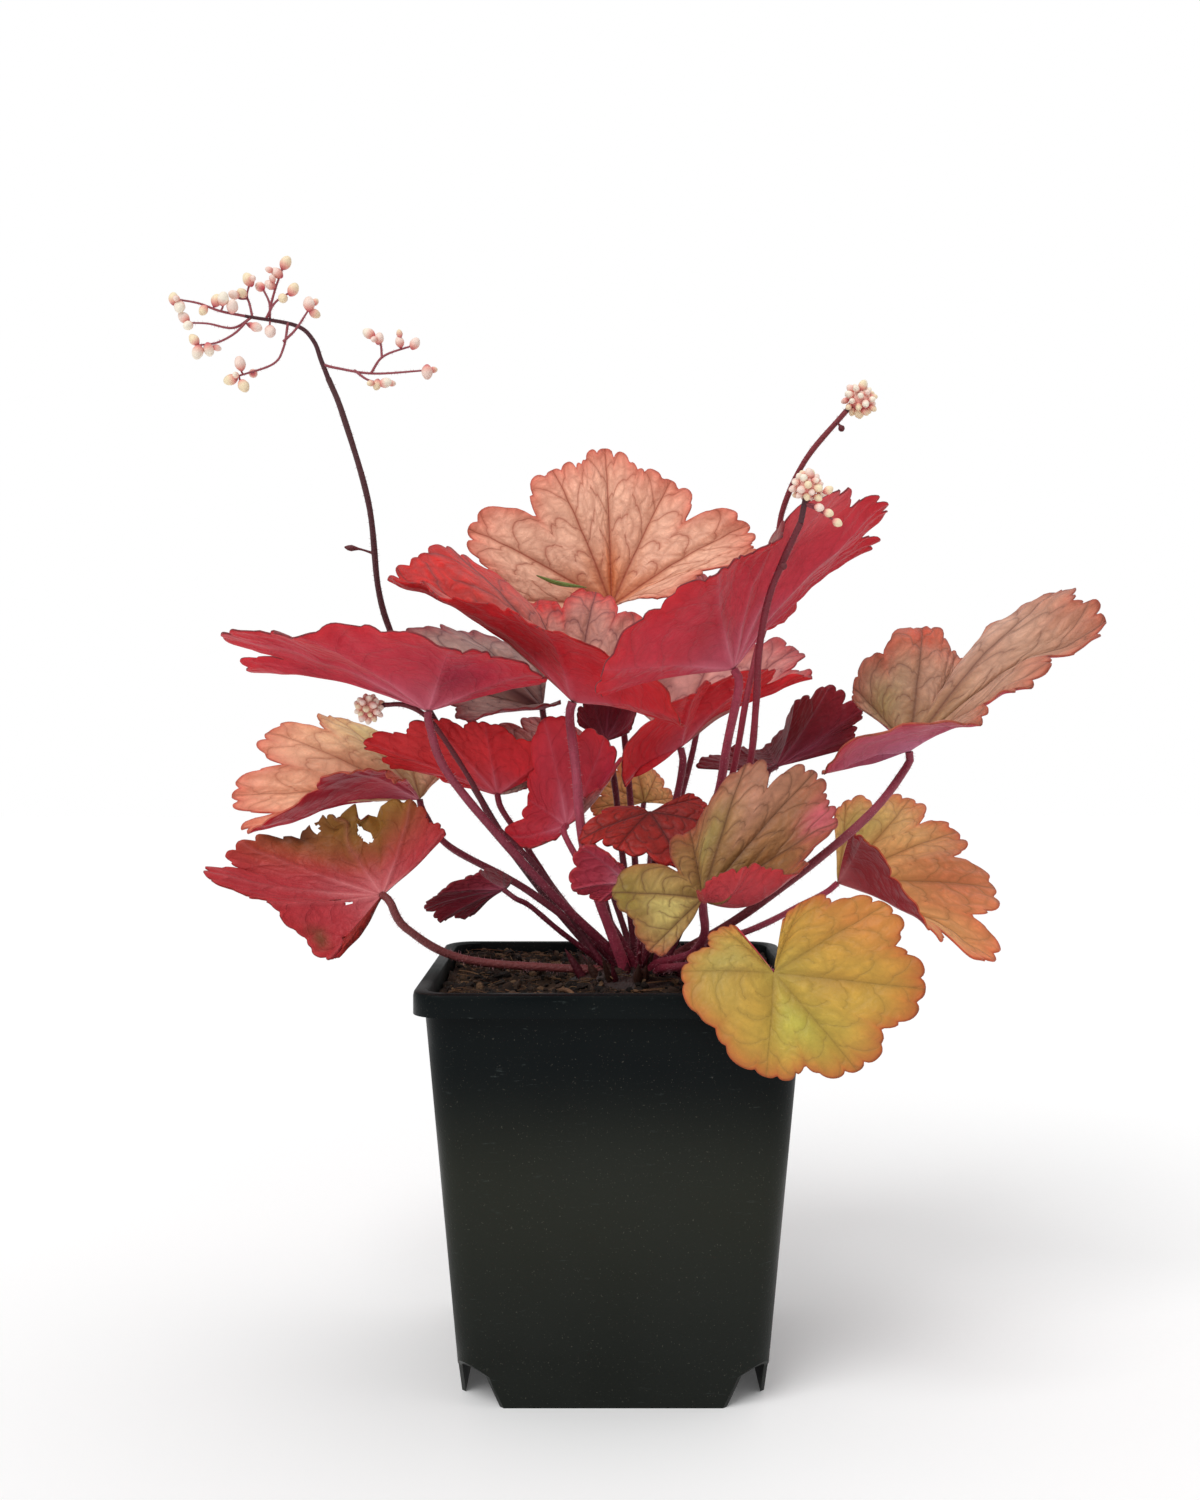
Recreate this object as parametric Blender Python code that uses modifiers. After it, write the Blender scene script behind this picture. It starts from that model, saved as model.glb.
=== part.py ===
"""A heuchera in its square nursery pot: crimson, peach, olive and amber leaves on maroon stalks.

Lengths are in millimetres and become metres through MM. The plant is modelled round the middle of
its pot, which stands on z = 0 with its front towards -Y. Each piece is then placed so that the
origin lies under the middle of the whole plant.
"""

import math

import bmesh
import bpy
import numpy as np
from mathutils import Matrix, Vector
from mathutils.geometry import delaunay_2d_cdt

MM = 0.001
GAP = 0.3                    # clearance between pieces that touch
POT_PLACE = (-9.2, 2.7, 0.0)  # the middle of the pot, from the origin under the whole plant

# Driving dimensions of the pot
POT_HEIGHT = 119.0
RIM_HALF = 56.0              # outside of the rim, half the width
WALL = 1.2
RIM_DROP = 6.5               # depth of the rim's turned-down lip
WALL_TOP_HALF = 52.9         # outside of the wall just under the rim
WALL_FOOT_HALF = 44.9        # outside of the wall where it meets the floor
FLOOR_Z = 15.0
FOOT_HALF = 43.8             # outside of the wall's feet on the ground
POT_CORNER = 7.0
CORNER_OPENING = ((-1.0, 74.2), (9.0, 79.4), (FLOOR_Z, 88.2))   # height, and |x| + |y| at its edge
BEYOND = 90.0                # further out than any part of the pot
DRAINS = ((22, 22), (-22, 22), (-22, -22), (22, -22), (0, 0))
DRAIN_RADIUS = 4.0
SOIL_TOP = 112.0
SOIL_CELLS = 13              # squares across the soil's lumpy top
SOIL_CORNER = 3.4            # how far the soil's corners are drawn in

# Driving dimensions of the plant
BLADE = 0.7                  # thickness of a leaf
CROWN_CENTRE = (6.0, 0.0, 112.0)
CROWN_SIZE = (19.0, 13.0, 7.5)
LOBE_NOTCH = 0.22            # how far the gaps between lobes reach in, as a share of the lobe
LOBE_BLUNT = 4.0             # how blunt the lobes are: higher gives wider lobes and narrower gaps
TOOTH_DEPTH = 0.04           # depth of a margin tooth, as a share of the lobe
BLADE_ARCH = 0.06            # how far a blade swells between its junction and its edge
SINUS = 0.42                 # half a lobe's share past the outermost lobes, beside the stalk

MAROON = (0.16, 0.012, 0.03)
CRIMSON = (0.42, 0.02, 0.05)
BRICK = (0.40, 0.03, 0.015)
PEACH = (0.72, 0.32, 0.17)
OLIVE = (0.42, 0.28, 0.10)
AMBER = (0.62, 0.33, 0.06)
GREY_PINK = (0.42, 0.20, 0.18)
STALK_DARK = (0.07, 0.012, 0.02)
BUD = (0.85, 0.62, 0.55)
PEAT = (0.035, 0.022, 0.014)
POT_BLACK = (0.012, 0.014, 0.014)

# Leaves: the junction with the stalk, then the tips of the lobes, from the lobe at one side of
# the stalk round the middle lobe to the other side, clockwise as seen on the upper face. The
# notch is one depth for all gaps between lobes, or one for each; the arch is one for each lobe.
LEAVES = {
    "leaf_top_peach": dict(
        junction=(0, 36, 232), colour=PEACH,
        notch=(0.12, 0.3, 0.08, 0.08, 0.28, 0.06, 0.12),
        tips=[(-39, 30, 234), (-47, 34, 258), (-19.5, 42, 278.5), (-2, 48, 287),
              (20, 44, 275), (45, 34, 259), (46, 24, 246), (18, 14, 235)]),
    "leaf_upper_left_funnel": dict(
        junction=(-12, -8, 200), colour=CRIMSON,
        notch=(0.22, 0.15, 0.12, 0.03, 0.1, 0.25, 0.2),
        tips=[(20, -28, 196), (-21, -38, 222), (-50, -34, 233), (-66, -16, 238),
              (-49, 0, 249), (-27, 12, 233), (-5, 16, 236), (12, 8, 224)]),
    "leaf_left_crimson": dict(
        junction=(-55, -16, 197), colour=CRIMSON,
        notch=(0.12, 0.1, 0.1, 0.3, 0.15, 0.15),
        tips=[(-21, -30, 208), (-45, -46, 216), (-89, -40, 218.5), (-114, -26, 220),
              (-110, -8, 210), (-81, 10, 215), (-54, 8, 214)]),
    "leaf_right_crimson": dict(
        junction=(35, -28, 209), colour=CRIMSON, teeth=3,
        notch=(0.12, 0.14, 0.12, 0.3, 0.08, 0.12),
        tips=[(54, -8, 228), (77, -8, 246), (79, -26, 258), (62, -44, 259),
              (44, -53, 246), (27, -62, 235), (-3, -54, 208)]),
    "leaf_centre_cup": dict(
        junction=(21, 2, 186), colour=CRIMSON, teeth=3,
        tips=[(5, 24, 208), (36, 34, 224), (60, 28, 219), (62, 10, 209),
              (47, 0, 210), (25, -8, 203), (2, -4, 177)]),
    "leaf_far_right_olive": dict(
        junction=(89, -12, 185), colour=OLIVE, teeth=3,
        notch=(0.2, 0.06, 0.12, 0.1, 0.15, 0.15, 0.2),
        tips=[(75, 6, 205), (99, 16, 226), (112, 13, 215), (139, 8, 235),
              (149, -8, 225), (121, -26, 205), (104, -34, 196), (62, -20, 180)]),
    "leaf_right_dark": dict(
        junction=(55, 40, 179), colour=CRIMSON, teeth=3, notch=0.1,
        tips=[(80, 34, 189), (82, 30, 198), (73, 36, 206), (62, 46, 201),
              (53, 56, 186), (42, 52, 185), (30, 44, 182)]),
    "leaf_lower_right_amber": dict(
        junction=(73, 24, 142), colour=AMBER,
        tips=[(77, 34, 168), (101, 42, 169), (115, 38, 158), (124, 24, 140),
              (120, 8, 119), (96, -4, 132), (79, 2, 159)]),
    "leaf_front_olive": dict(
        junction=(25, -44, 144), colour=OLIVE, teeth=4,
        notch=(0.1, 0.6, 0.1, 0.25, 0.06, 0.2, 0.05, 0.05),
        arch=(0.06, 0.06, 0.06, 0.06, 0.06, 0.0, -0.16, -0.2, -0.16),
        tips=[(10, -58, 132), (0, -52, 147), (22, -36, 163), (38, -34, 182),
              (58, -34, 180), (63, -42, 166), (49, -58, 152.6), (35, -61, 154.4),
              (24, -55, 148)]),
    "leaf_over_rim_yellow": dict(
        junction=(43, -63, 126), colour=AMBER, notch=0.16,
        tips=[(51, -60, 145), (73, -66, 145), (82, -72, 123), (64, -74, 102),
              (40, -72, 100), (18, -66, 127), (29, -60, 138)]),
    "leaf_left_peach": dict(
        junction=(-62, 24, 169), colour=PEACH, teeth=4, sinus=0.3,
        tips=[(-67, 2, 177), (-80, -4, 179), (-112, 0, 160), (-120, 12, 171),
              (-111, 24, 191), (-91, 34, 197), (-69, 42, 186), (-56, 34, 180)]),
    "leaf_lower_left_withered": dict(
        junction=(-70, -6, 141), colour=CRIMSON, teeth=3, sinus=0.1,
        notch=(0.1, 0.2, 0.12, 0.16, 0.1, 0.12, 0.05),
        tips=[(-51, -2, 160), (-62, 2, 169), (-86, 4, 161), (-114, -4, 157),
              (-123, -12, 148), (-102, -18, 139), (-84, -20, 123), (-80, -16, 129)]),
    "leaf_left_red": dict(
        junction=(-36, 10, 171), colour=CRIMSON, teeth=3, notch=0.15,
        tips=[(-20, 8, 183), (-40, 8, 194), (-57, 6, 195), (-77, 4, 188),
              (-69, 10, 180), (-50, 14, 174), (-26, 12, 174)]),
    "leaf_centre_red": dict(
        junction=(-14, -2, 162), colour=CRIMSON, teeth=3, notch=0.15,
        tips=[(-7, -12, 170), (2, -13, 181), (-2, -4, 189), (-21, 2, 195),
              (-26, 4, 170), (-34, 3, 157), (-20, -7, 157)]),
    "leaf_left_grey": dict(
        junction=(-22, 14, 198), colour=GREY_PINK, teeth=3, notch=0.15,
        tips=[(-17, 0, 200), (-44, 4, 195), (-59, 26, 204), (-70, 34, 222.5),
              (-51, 44, 225), (-27, 46, 220)]),
    "leaf_front_brick": dict(
        junction=(11, -20, 167), colour=BRICK, teeth=3, notch=0.15,
        tips=[(26, -18, 171), (31, -24, 163), (20, -32, 152), (1, -30, 157),
              (-10, -25, 159), (3, -18, 169)]),
    "leaf_small_maroon": dict(
        junction=(-33, -8, 143), colour=MAROON, teeth=3, notch=0.1,
        tips=[(-34, 4, 147), (-41, -10, 148), (-52, -14, 143), (-57, -10, 138),
              (-53, -4, 133), (-46, 2, 133)]),
    "leaf_small_pink": dict(
        junction=(4, -27, 147), colour=CRIMSON, teeth=3, notch=0.12,
        tips=[(1, -34, 154), (-9, -33, 158), (-12, -26, 145), (-4, -22, 141)]),
    "leaf_back_amber": dict(
        junction=(11, 46, 167), colour=AMBER, teeth=3,
        tips=[(-7, 42, 165), (-6, 46, 174), (7, 52, 183), (16, 54, 177), (21, 50, 168)]),
    "leaf_back_pink": dict(
        junction=(34, 50, 217), colour=GREY_PINK, teeth=3,
        tips=[(5, 38, 216), (18, 42, 231), (23, 50, 240), (31, 58, 245), (45, 68, 240)]),
    "leaf_back_left": dict(
        junction=(-17, 42, 178), colour=GREY_PINK, teeth=3,
        tips=[(-37, 34, 181), (-40, 40, 191), (-26, 50, 196), (-11, 58, 191)]),
    "leaf_centre_dark": dict(
        junction=(-2, 8, 188), colour=MAROON, teeth=3, notch=0.12,
        tips=[(7, 2, 194), (6, 11, 205), (0, 14, 211), (-7, 10, 204), (-11, 4, 196)]),
}

# Leaf stalks: radius, then the points the stalk passes from the crown up to its leaf.
STALKS = {
    "leaf_top_peach": (1.15, [(9, 4, 120), (6, 26, 169), (3, 34, 201)]),
    "leaf_upper_left_funnel": (1.6, [(3, -6, 121), (-4, -12, 140), (-9, -16, 159), (-11, -17, 180)]),
    "leaf_left_crimson": (1.4, [(5, -2, 118), (-22, -12, 146), (-48, -17, 177)]),
    "leaf_right_crimson": (1.45, [(13, -2, 121), (27, -6, 155), (32, -11, 173), (34, -19, 188)]),
    "leaf_centre_cup": (1.3, [(12, 0, 122), (16, 4, 154), (20, 5, 170)]),
    "leaf_far_right_olive": (1.4, [(15, 0, 119), (41, -18, 138), (72, -26, 164)]),
    "leaf_right_dark": (1.1, [(13, 4, 122), (35, 28, 152), (49, 38, 168)]),
    "leaf_lower_right_amber": (1.1, [(15, 2, 120), (44, 14, 128), (61, 22, 135)]),
    "leaf_front_olive": (1.4, [(13, -8, 120), (23, -20, 125), (26, -36, 133)]),
    "leaf_over_rim_yellow": (1.4, [(13, -6, 118), (22, -30, 123), (35, -54, 128)]),
    "leaf_left_peach": (1.25, [(-1, 0, 122), (-26, 7, 141), (-52, 20, 154)]),
    "leaf_lower_left_withered": (1.4, [(2, -2, 117), (-43, -5, 121), (-62, -9, 131)]),
    "leaf_left_red": (1.1, [(0, 0, 121), (-16, 5, 139), (-29, 9, 158)]),
    "leaf_centre_red": (1.1, [(6, -4, 121), (-3, -7, 137), (-10, -8, 151)]),
    "leaf_left_grey": (1.15, [(2, 2, 122), (-7, 6, 154), (-16, 11, 179)]),
    "leaf_front_brick": (0.9, [(10, -4, 121), (12, -8, 146), (13, -14, 158)]),
    "leaf_small_maroon": (0.9, [(-4, 0, 120), (-16, -5, 130), (-25, -8, 138)]),
    "leaf_small_pink": (0.9, [(8, -8, 121), (8, -20, 132), (7, -25, 140)]),
    "leaf_back_amber": (1.0, [(11, 6, 121), (12, 24, 143), (13, 38, 155)]),
    "leaf_back_pink": (1.1, [(12, 8, 123), (18, 26, 152), (28, 42, 188)]),
    "leaf_back_left": (1.0, [(6, 6, 122), (-4, 20, 150), (-12, 34, 165)]),
    "leaf_centre_dark": (1.1, [(7, 2, 122), (3, 6, 154), (1, 8, 173)]),
}

APPROACH = 5.0               # where a stalk starts to turn towards its blade, from the junction
OWN_SHARE = 0.55             # how much of its own direction it keeps there

# Flower stalks: radius, then the points from the crown to the head.
FLOWER_STALKS = {
    "flower_stalk_tall": (1.1, [
        (-4, 6, 120), (-16, 13, 133), (-29, 18, 148), (-50, 20, 183), (-62, 20, 204),
        (-70, 19, 221), (-74, 15, 236), (-76, 8, 262), (-82.5, -2, 288), (-86.2, -6, 298)]),
    "flower_stalk_low": (0.9, [
        (-3, -4, 120), (-22, -5, 148), (-36, -6, 163), (-43, -7, 176), (-52, -7, 190),
        (-57, -8, 196), (-63, -8, 199), (-69, -8, 199)]),
    "flower_stalk_right": (1.0, [
        (17, 4, 122), (31, -4, 155), (37, -10, 182), (40, -12, 200), (44, -7, 216),
        (47, -3, 225), (51, 3, 250), (53, 0, 261), (59, -6, 274), (70, -12, 287)]),
    "flower_stalk_front": (1.1, [
        (15, -10, 120), (26, -14, 144), (35, -18, 166), (40, -24, 181), (41, -34, 200),
        (41, -42, 214), (43, -48, 228), (47, -52, 239), (51, -55, 248)]),
}
FLOWER_STEPS = 15            # places along a flower stalk
STUB_STEPS = 3               # those of them that are one with the crown

# The open spray on the tall stalk: twigs with their points, and the buds they carry.
SPRAY_TWIGS = [
    [(-86.2, -6, 298), (-88, -8, 303), (-90, -10, 308.5), (-95, -12, 312.5), (-109, -17, 314)],
    [(-109, -17, 314), (-116, -19, 315), (-122, -20, 317), (-129, -21, 318)],
    [(-107, -16, 314), (-112, -19, 310), (-119, -20, 311), (-124, -21, 311)],
    [(-108, -17, 313), (-111, -21, 308), (-116, -22, 305), (-121, -23, 304)],
    [(-107, -16, 314), (-108, -15, 318), (-109, -14, 321), (-108, -14, 325)],
    [(-102, -15, 314), (-102.5, -13.5, 319), (-105, -12.5, 324)],
    [(-102.2, -14, 317), (-100.5, -14, 323), (-98, -14, 330)],
    [(-103, -15, 314), (-100, -17, 318), (-95, -18, 321)],
    [(-97, -13, 313), (-98, -15, 305), (-101, -16, 300), (-111, -18, 296)],
    [(-98, -15, 307), (-94, -17, 310), (-90, -17, 316)],
    [(-87.6, -7.6, 301.8), (-83, -8, 300.6), (-72, -8, 299), (-56, -8, 300)],
    [(-73, -8, 299), (-69, -9, 304), (-60, -10, 307)],
    [(-69.5, -9, 303.5), (-70, -8, 308), (-71, -8, 310)],
    [(-78, -8, 300), (-74, -9, 297), (-70, -9, 296)],
]
SPRAY_BUDS = [
    (-129, -21, 318), (-127, -22, 315.5), (-120.5, -20, 315), (-126, -21, 312.5),
    (-124.5, -22, 310), (-122.5, -23, 305.5), (-121.5, -23, 302), (-118.5, -22, 303),
    (-117, -19, 318), (-114.5, -21, 318), (-112, -18, 320), (-112, -20, 316), (-108.5, -14, 325.5),
    (-110, -16, 321), (-105.5, -12, 324), (-102, -14, 324), (-97.5, -14, 330.5), (-100, -14, 327.5),
    (-94.5, -18, 321.5), (-97.5, -18, 319), (-105.5, -18, 310.5), (-101.5, -17, 309.5),
    (-90, -17, 317.5), (-88.5, -16, 315), (-110, -19, 299.5), (-113, -18, 295), (-109, -19, 293),
    (-107, -15, 297.5), (-73.5, -8, 311), (-70.5, -8, 309.5), (-64, -10, 308), (-59.5, -10, 307.5),
    (-56, -8, 299.5), (-71, -9, 295.5), (-68.5, -9, 296)]
BUD_SIZE = (1.7, 1.7, 2.1)   # half sizes of a bud
HEAD_BUD_SIZE = (1.35, 1.35, 1.7)
NECK = 1.5                   # straight start of a head's neck, in line with its stalk

# The closed heads: the stalk that carries each, its centre, half sizes and number of buds, and
# the loose buds on their own threads beside it.
HEADS = {
    "flower_head_right": ("flower_stalk_right", (74.0, -13.0, 290.0), (4.0, 4.0, 4.2), 18, []),
    "flower_head_front": ("flower_stalk_front", (52.8, -56.5, 257.8), (3.7, 3.6, 3.7), 16, [
        (58.2, -57, 256.6), (55.6, -58, 251.8), (58.2, -57.5, 250.4), (60.6, -57.5, 247.8)]),
    "flower_head_low": ("flower_stalk_low", (-73.5, -9.0, 198.0), (3.4, 3.4, 3.2), 14, []),
}
# Single dark buds that stand off a flower stalk: where their thread starts, and their centre.
SIDE_BUDS = {
    "flower_stalk_tall": ((-75.2, 12.0, 247.0), (-83.2, 10.5, 248.6)),
    "flower_stalk_right": ((67.0, -10.5, 284.0), (68.6, -13.5, 281.0)),
    "flower_stalk_front": ((46.0, -51.2, 236.8), (46.6, -54.4, 236.0)),
}
SIDE_BUD_SIZE = (1.2, 0.8, 0.8)

# Bits lying on the soil
DEAD_STALKS = {
    "dead_stalk_front": (0.8, [(-21, -24, 113.2), (-15, -34, 114.4), (-12, -41, 113.4)]),
    "dead_stalk_side": (0.7, [(-17, -14, 113.4), (-13, -24, 114.8), (-10, -33, 113.2)]),
}
PEBBLE_CENTRE = (-30.0, -30.0, 113.0)
PEBBLE_SIZE = (2.2, 1.6, 1.3)


# Scene, materials and collections

def clear_scene():
    for old in list(bpy.data.objects):
        bpy.data.objects.remove(old, do_unlink=True)


def new_collection(name):
    group = bpy.data.collections.new(name)
    bpy.context.scene.collection.children.link(group)
    return group


def material(name, colour, roughness=0.55, metallic=0.0):
    found = bpy.data.materials.get(name)
    if found:
        return found
    made = bpy.data.materials.new(name)
    made.use_nodes = True
    shader = made.node_tree.nodes["Principled BSDF"]
    shader.inputs["Base Color"].default_value = (*colour, 1.0)
    shader.inputs["Roughness"].default_value = roughness
    shader.inputs["Metallic"].default_value = metallic
    return made


def new_object(name, mesh, group, paint=None):
    made = bpy.data.objects.new(name, mesh)
    if paint:
        made.data.materials.clear()
        made.data.materials.append(paint)
    group.objects.link(made)
    return made


def face_outwards(bm):
    bmesh.ops.recalc_face_normals(bm, faces=bm.faces[:])
    if bm.calc_volume(signed=True) < 0:
        bmesh.ops.reverse_faces(bm, faces=bm.faces[:])


def finish_mesh(name, bm):
    face_outwards(bm)
    mesh = bpy.data.meshes.new(name)
    bm.to_mesh(mesh)
    bm.free()
    return mesh


def apply_modifiers(thing):
    graph = bpy.context.evaluated_depsgraph_get()
    mesh = bpy.data.meshes.new_from_object(thing.evaluated_get(graph))
    thing.modifiers.clear()
    bm = bmesh.new()
    bm.from_mesh(mesh)
    face_outwards(bm)
    bm.to_mesh(mesh)
    bm.free()
    thing.data = mesh


def join_group(thing, group, operation="UNION", solver="EXACT"):
    """Add the group's objects to the thing, or cut them from it, and remove them."""
    cut = thing.modifiers.new("join", "BOOLEAN")
    cut.operand_type = "COLLECTION"
    cut.collection = group
    cut.operation = operation
    cut.solver = solver
    apply_modifiers(thing)
    for part in list(group.objects):
        bpy.data.objects.remove(part, do_unlink=True)
    bpy.data.collections.remove(group)


# Curves through points

def through(points, count):
    """Evenly spaced places on a smooth curve through the points."""
    p = np.array(points, float)
    p = np.vstack([2 * p[0] - p[1], p, 2 * p[-1] - p[-2]])
    fine = []
    for i in range(1, len(p) - 2):
        a, b, c, d = p[i - 1], p[i], p[i + 1], p[i + 2]
        for t in np.linspace(0, 1, 24, endpoint=False):
            fine.append(0.5 * (2 * b + (c - a) * t + (2 * a - 5 * b + 4 * c - d) * t ** 2
                               + (3 * b - a - 3 * c + d) * t ** 3))
    fine.append(p[-2])
    fine = np.array(fine)
    along = np.concatenate([[0], np.cumsum(np.linalg.norm(np.diff(fine, axis=0), axis=1))])
    at = np.linspace(0, along[-1], count)
    return np.stack([np.interp(at, along, fine[:, k]) for k in range(3)], axis=1)


def tube(name, places, radius, group, paint=None, sides=6, tip=1.0, foot=1.0):
    """A closed tube along the places, with its radius drawn in towards the tip."""
    curve = bpy.data.curves.new(name, "CURVE")
    curve.dimensions = "3D"
    curve.bevel_depth = radius * MM
    curve.bevel_resolution = (sides - 4) // 2
    curve.use_fill_caps = True
    spline = curve.splines.new("POLY")
    spline.points.add(len(places) - 1)
    for k, (point, place) in enumerate(zip(spline.points, places)):
        share = k / (len(places) - 1)
        point.co = (*(place * MM), 1.0)
        point.radius = foot + (1 - foot) * min(1, share * 3)
        if share == 1:
            point.radius *= tip
    drawn = bpy.data.objects.new(name + "_curve", curve)
    group.objects.link(drawn)
    graph = bpy.context.evaluated_depsgraph_get()
    mesh = bpy.data.meshes.new_from_object(drawn.evaluated_get(graph))
    bpy.data.objects.remove(drawn, do_unlink=True)
    bm = bmesh.new()
    bm.from_mesh(mesh)
    bmesh.ops.remove_doubles(bm, verts=bm.verts[:], dist=0.00001)
    face_outwards(bm)
    bm.to_mesh(mesh)
    bm.free()
    mesh.name = name
    return new_object(name, mesh, group, paint)


# Leaves

def unit(v):
    return v / np.maximum(np.linalg.norm(v, axis=-1, keepdims=True), 1e-9)


def along_lobes(values, s):
    """Values given at the lobes, blended smoothly in between; s counts the lobes."""
    n = len(values)
    p = np.vstack([2 * values[0] - values[1], values, 2 * values[-1] - values[-2]])
    i = np.clip(np.floor(s).astype(int), 0, n - 2)
    t = (s - i)[:, None]
    a, b, c, d = p[i], p[i + 1], p[i + 2], p[i + 3]
    return 0.5 * (2 * b + (c - a) * t + (2 * a - 5 * b + 4 * c - d) * t ** 2
                  + (3 * b - a - 3 * c + d) * t ** 3)


def margin(s, teeth, notch):
    """Length of the blade at s as a share of its lobe's length: lobes, gaps and teeth."""
    x = s - np.round(s)
    depth = np.atleast_1d(notch)
    depth = depth[np.clip(np.floor(s).astype(int), 0, len(depth) - 1)]
    lobe = 1 - depth * np.abs(2 * x) ** LOBE_BLUNT
    y = (x + 0.5) * teeth
    y = y - np.floor(y) - 0.5
    return lobe * (1 - TOOTH_DEPTH * np.abs(2 * y) ** 2.0)


def blade_place(leaf, s, share):
    """Places on the middle surface of a blade, and its upward direction there."""
    root = np.array(leaf["junction"], float)
    reach = np.array(leaf["tips"], float) - root
    length = np.linalg.norm(reach, axis=1, keepdims=True)
    way = unit(along_lobes(reach / length, s))
    ahead = unit(along_lobes(reach / length, s + 0.001))
    span = along_lobes(length, s)
    up = -unit(np.cross(way, ahead - way))
    arch = np.array(leaf.get("arch", [BLADE_ARCH] * len(reach)))[:, None]
    swell = along_lobes(arch, s)[:, 0] * 4 * share * (1 - share)
    return root + span * (way * share[:, None] + up * swell[:, None]), up


def outline_steps(count, sinus, teeth):
    """The s of each outline point: three to a tooth, at its foot and its two shoulders."""
    steps = []
    first = -sinus
    last = count - 1 + sinus
    per = 1.0 / teeth
    k = math.floor(first / per) - 1
    while k * per - 0.5 < last + per:
        for offset in (0.0, 0.3, 0.7):
            s = k * per - 0.5 + offset * per
            if first + 0.03 < s < last - 0.03:
                steps.append(s)
        k += 1
    return np.array([first] + steps + [last])


def leaf_blade(name, leaf, group):
    """A blade as a thin closed sheet, cut in a flat plan and lifted onto its curved surface."""
    count = len(leaf["tips"])
    sinus = leaf.get("sinus", SINUS)
    teeth = leaf.get("teeth", 5)
    fan = 5.6 / (count - 1 + 2 * sinus)
    edge = outline_steps(count, sinus, teeth)
    shares = margin(edge, teeth, leaf.get("notch", LOBE_NOTCH))
    s_all = [0.5 * (count - 1)]
    share_all = [0.0]
    s_all += list(edge)
    share_all += list(shares)
    ring = len(s_all)
    for share, step in ((0.34, 1.0), (0.64, 0.5)):
        for s in np.arange(0, count - 1 + 0.01, step):
            s_all.append(s)
            share_all.append(share * (1 if s == round(s) else 0.88))
    s_all = np.array(s_all)
    share_all = np.array(share_all)
    turn = (s_all - 0.5 * (count - 1)) * fan
    plan = [Vector((math.sin(a) * r, math.cos(a) * r)) for a, r in zip(turn, share_all)]
    sheet = delaunay_2d_cdt(plan, [], [list(range(ring))], 1, 1e-6)
    faces = sheet[2]
    source = [found[0] for found in sheet[3]]
    places, up = blade_place(leaf, s_all, share_all)
    bm = bmesh.new()
    verts = [bm.verts.new(places[k] * MM) for k in source]
    for face in faces:
        bm.faces.new([verts[k] for k in face])
    mesh = bpy.data.meshes.new(name)
    bm.normal_update()
    bm.to_mesh(mesh)
    bm.free()
    blade = new_object(name, mesh, group, material(name + "_colour", leaf["colour"], 0.5))
    shell = blade.modifiers.new("thickness", "SOLIDIFY")
    shell.thickness = BLADE * MM
    shell.offset = 0.0
    apply_modifiers(blade)
    return blade


def under_junction(leaf, distance):
    """The place below a blade's junction, at the distance from its middle surface."""
    root = np.array(leaf["junction"], float)
    s = np.linspace(0, len(leaf["tips"]) - 1, 25)
    up = blade_place(leaf, s, np.full(25, 0.2))[1]
    return root - unit(up.mean(axis=0)) * distance


def way_in(leaf, last):
    """The place before a junction where a stalk turns from its own way to the blade's."""
    root = np.array(leaf["junction"], float)
    own = unit(root - np.array(last, float))
    square = unit(root - under_junction(leaf, 1.0))
    return root - unit(own * OWN_SHARE + square * (1 - OWN_SHARE)) * APPROACH


# Crown, stalks and heads

def lump(name, centre, half, group, paint=None, rings=6, segments=10, turn=None):
    bm = bmesh.new()
    bmesh.ops.create_uvsphere(bm, u_segments=segments, v_segments=rings, radius=1.0)
    size = Matrix.Diagonal((half[0] * MM, half[1] * MM, half[2] * MM, 1.0))
    shift = Matrix.Translation(Vector(centre) * MM)
    bm.transform(shift @ (turn or Matrix.Identity(4)) @ size)
    return new_object(name, finish_mesh(name, bm), group, paint)


def stalk_points(name):
    radius, points = STALKS[name]
    foot = np.array(points[0], float)
    heart = np.array(CROWN_CENTRE)
    sunk = heart + (foot - heart) * 0.45
    sunk[2] = CROWN_CENTRE[2] + 1.0
    leaf = LEAVES[name]
    end = under_junction(leaf, BLADE / 2 + GAP + 0.3)
    return radius, [sunk] + list(points) + [way_in(leaf, points[-1]), end]


def flower_route(name):
    radius, points = FLOWER_STALKS[name]
    return radius, through(points, FLOWER_STEPS)


def crown(group):
    """The woody crown and the leaf stalks that grow from it, one maroon body."""
    paint = material("stalk_maroon", MAROON, 0.5)
    body = lump("crown_and_leaf_stalks", CROWN_CENTRE, CROWN_SIZE, group, paint, 6, 12)
    extra = new_collection("stalks")
    for name in STALKS:
        radius, points = stalk_points(name)
        tube(name + "_stalk", through(points, 8), radius, extra, sides=6, tip=0.3, foot=1.35)
    for name in FLOWER_STALKS:
        radius, route = flower_route(name)
        stub = route[:STUB_STEPS + 1]
        start = stub[0] + (np.array(CROWN_CENTRE) - stub[0]) * 0.5
        tube(name + "_stub", np.vstack([start, stub]), radius * 1.12, extra)
    join_group(body, extra)
    return body


def flower_stalk(name, group):
    """A flower stalk from just above its stub on the crown to just below its head."""
    radius, route = flower_route(name)
    route = route[STUB_STEPS:].copy()
    route[0] += unit(route[1] - route[0]) * GAP
    paint = material("flower_stalk_colour", STALK_DARK, 0.5)
    stalk = tube(name, route, radius, group, paint)
    if name in SIDE_BUDS:
        extra = new_collection("side_bud")
        root, place = (np.array(p) for p in SIDE_BUDS[name])
        tube("thread", np.array([root, place]), 0.45, extra, sides=4)
        lump("bud", place, SIDE_BUD_SIZE, extra, rings=3, segments=5)
        join_group(stalk, extra)
    return stalk


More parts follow.
